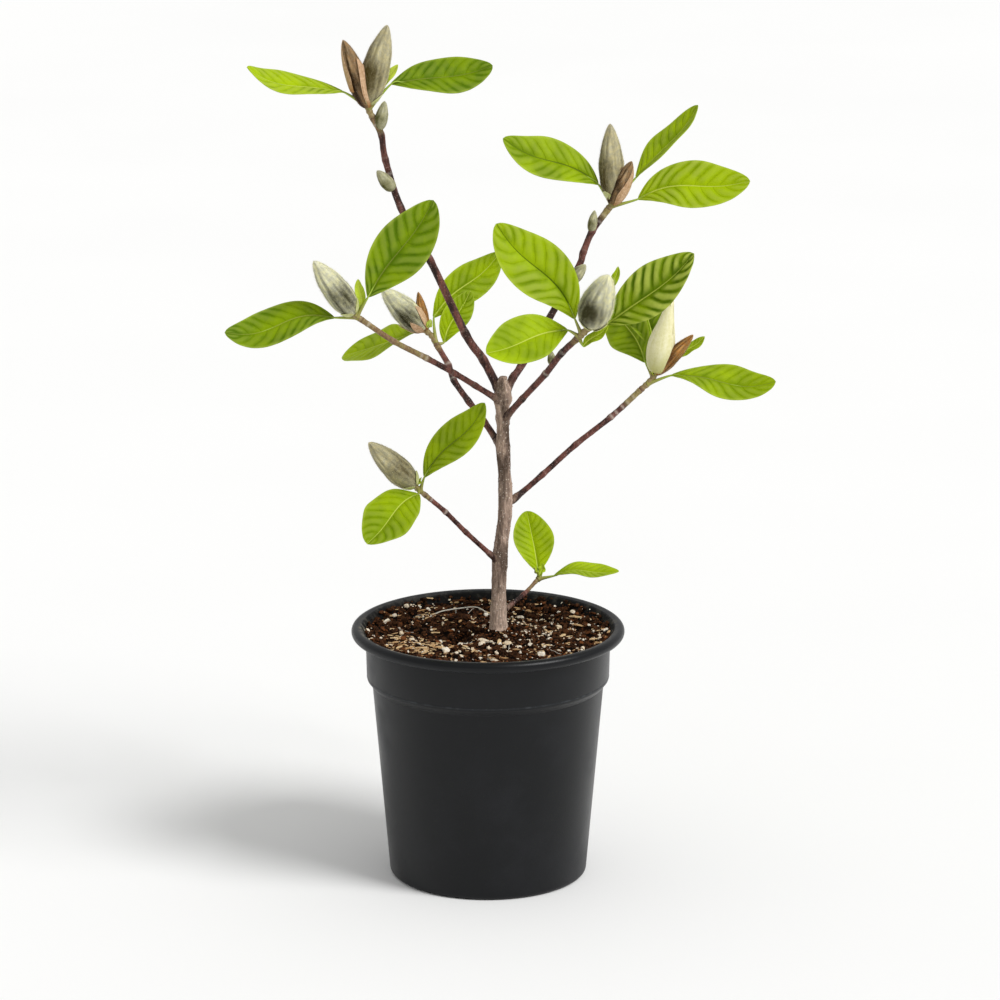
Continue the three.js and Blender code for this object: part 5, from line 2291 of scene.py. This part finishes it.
    def stalk(self, bm: BMesh, root: Vector, spine: Sequence[Station]) -> None:
        """Adds the stalk, which runs on under the blade as its midrib.

        Args:
            bm: The mesh it is added to.
            root: Where it leaves the stem.
            spine: The blade's spine.
        """
        foot, neck, end = self.stalk_radii
        picks = [spine[0], *(spine[round(len(spine) * share)] for share in self.RIB_SHARES)]
        sinks = [0.5 * neck, *(0.85 - 0.08 * i for i in range(len(self.RIB_SHARES)))]
        below = [pick.point - pick.face * (sink * MM) for pick, sink in zip(picks, sinks)]
        curve = Curve([root, *below])
        free = (spine[0].point - root).length

        def radius(distance: float) -> float:
            """Gives the stalk's radius, first down to the blade and then under it."""
            size = lerp(foot, neck, distance / free)
            if distance >= free:
                past = 2.2 * (distance - free) / (curve.length - free)
                size = lerp(neck, end, min(1.0, past))
            return size * MM * (1 + 0.7 * math.exp(-distance / (1.2 * MM)))

        stations = curve.stations(spread(0, curve.length, STALK_STEP), radius)
        rod(bm, stations, self.stalk_sides, mark=lambda share: Vector((0.3, share, 0)))

    def leaves(self) -> tuple[BMesh, BMesh]:
        """Grows the leaves and stalks by the part's own seeded rule.

        Returns:
            The mesh of the blades and the mesh of the stalks.
        """
        blades, stalks = new_mesh(), new_mesh()
        chance = Chance(11 + 97 * self.index)
        for leaf in self.mass.leaves:
            root = self.stem.point(self.stem.length * leaf.at)
            length, heading, rise = leaf.petiole
            spine = self.blade(blades, leaf, root + direction(heading, rise) * length * MM, chance)
            self.stalk(stalks, root, spine)
        for scale in TipScales().dealt(self.mass.stem[1], chance):
            self.blade(blades, scale, self.stem.point(self.stem.length * scale.at), chance)
        return blades, stalks

    def add_stem(self, bm: BMesh) -> None:
        """Adds the green stem, in the mesh's second finish.

        Args:
            bm: The mesh it is added to.
        """
        def radius(distance: float) -> float:
            """Gives the stem's radius, faintly knobbly, at a distance in metres."""
            return self.limb.bough.tip_radius * MM * (1 + 0.12 * math.sin(distance / MM * 1.9))

        distances = spread(-self.stem_sunk * MM, self.stem.length, self.stem_step * MM)
        before = set(bm.faces)
        rod(bm, self.stem.stations(distances, radius), self.stem_sides,
            mark=lambda share: Vector((share * 0.2, share, 0)))
        for face in set(bm.faces) - before:
            face.material_index = 1

    def build(self) -> None:
        """Builds every piece of the mass and dresses it."""
        node = self.mass.name
        short = node.removeprefix("foliage_")
        blades, stalks = self.leaves()
        self.add_stem(stalks)
        greens, stems = [LEAF_TOP, LEAF_UNDER], [PETIOLE_SKIN, GREEN_STEM]
        finished(f"leaves_{short}", blades, greens, "foliage", [node], self.leaf_crease)
        finished(f"stems_{short}", stalks, stems, "foliage", [node])
        roots = [self.stem.point(self.stem.length * bud.at) for bud in self.mass.buds]
        dress_buds(short, self.mass.buds, roots, self.BUD_SEEDS * self.index, node)


# ---------- studio

@dataclass
class Studio:
    """The pale floor, the soft lights and the camera; sizes in metres."""

    camera_place: tuple[float, float, float] = (0.00725, -2.5915, 0.9128)
    camera_pitch: float = 14.7
    focal: float = 160.9
    sensor: float = 36.0
    sight: float = 30.0
    floor_half: float = 16.0
    sky: float = 0.57
    key_aim: tuple[float, float, float] = (0.85, -0.55, 1.0)
    key_power: float = 2.12
    key_softness: float = 24.0

    def build(self) -> None:
        """Sets up floor, sky, lights and camera."""
        bpy.context.scene.view_settings.view_transform = "Standard"
        self.lay_floor()
        self.fill_sky()
        self.shine()
        self.place_camera()

    def lay_floor(self) -> None:
        """Lays the floor, wide enough to fill the view."""
        bm = bmesh.new()
        bmesh.ops.create_grid(bm, x_segments=1, y_segments=1, size=self.floor_half)
        mesh = written("studio_floor", bm)
        mesh.materials.append(FLOOR_PAINT.material())
        floor = placed("studio_floor", mesh)
        floor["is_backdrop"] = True

    def fill_sky(self) -> None:
        """Fills the room with even white light."""
        world = bpy.data.worlds.new("studio_sky")
        bpy.context.scene.world = world
        world.use_nodes = True
        sky = world.node_tree.nodes["Background"]
        sky.inputs["Color"].default_value = colour("#ffffff")
        sky.inputs["Strength"].default_value = self.sky

    def shine(self) -> None:
        """Adds one broad soft light from the upper right, even over the whole floor."""
        data = bpy.data.lights.new("key_light", "SUN")
        data.energy, data.angle = self.key_power, math.radians(self.key_softness)
        turn = Vector(self.key_aim).to_track_quat("Z", "Y")
        placed("key_light", data).rotation_euler = turn.to_euler()

    def place_camera(self) -> None:
        """Places the camera."""
        data = bpy.data.cameras.new("camera")
        data.sensor_width, data.lens, data.clip_end = self.sensor, self.focal, self.sight
        camera = placed("camera", data)
        camera.location = self.camera_place
        camera.rotation_euler = (math.radians(90 - self.camera_pitch), 0.0, 0.0)
        bpy.context.scene.camera = camera


def main() -> None:
    """Builds and dresses the plant, its pot and the studio, in order."""
    logging.basicConfig(level=logging.INFO, format="%(name)s: %(message)s")
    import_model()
    cad_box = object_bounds()
    Studio().build()
    NurseryPot().build()
    PottingMix().build()
    trunk = Trunk()
    trunk.build()
    limbs = {}
    for number, bough in enumerate(BOUGHS):
        limb = limbs[bough.name] = Limb(bough, trunk)
        limb.build()
        roots = [limb.curve.point(bud.at * MM) for bud in bough.buds]
        seed = SIDE_SEED + Foliage.BUD_SEEDS * number
        dress_buds(bough.name, bough.buds, roots, seed, bough.name)
    for index, mass in enumerate(MASSES):
        Foliage(mass, limbs[mass.bough], index).build()
    sizes = {"cad": cad_box, "visual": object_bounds()}
    {key: [list(corner) for corner in box] for key, box in sizes.items()}


if __name__ == "__main__":
    main()
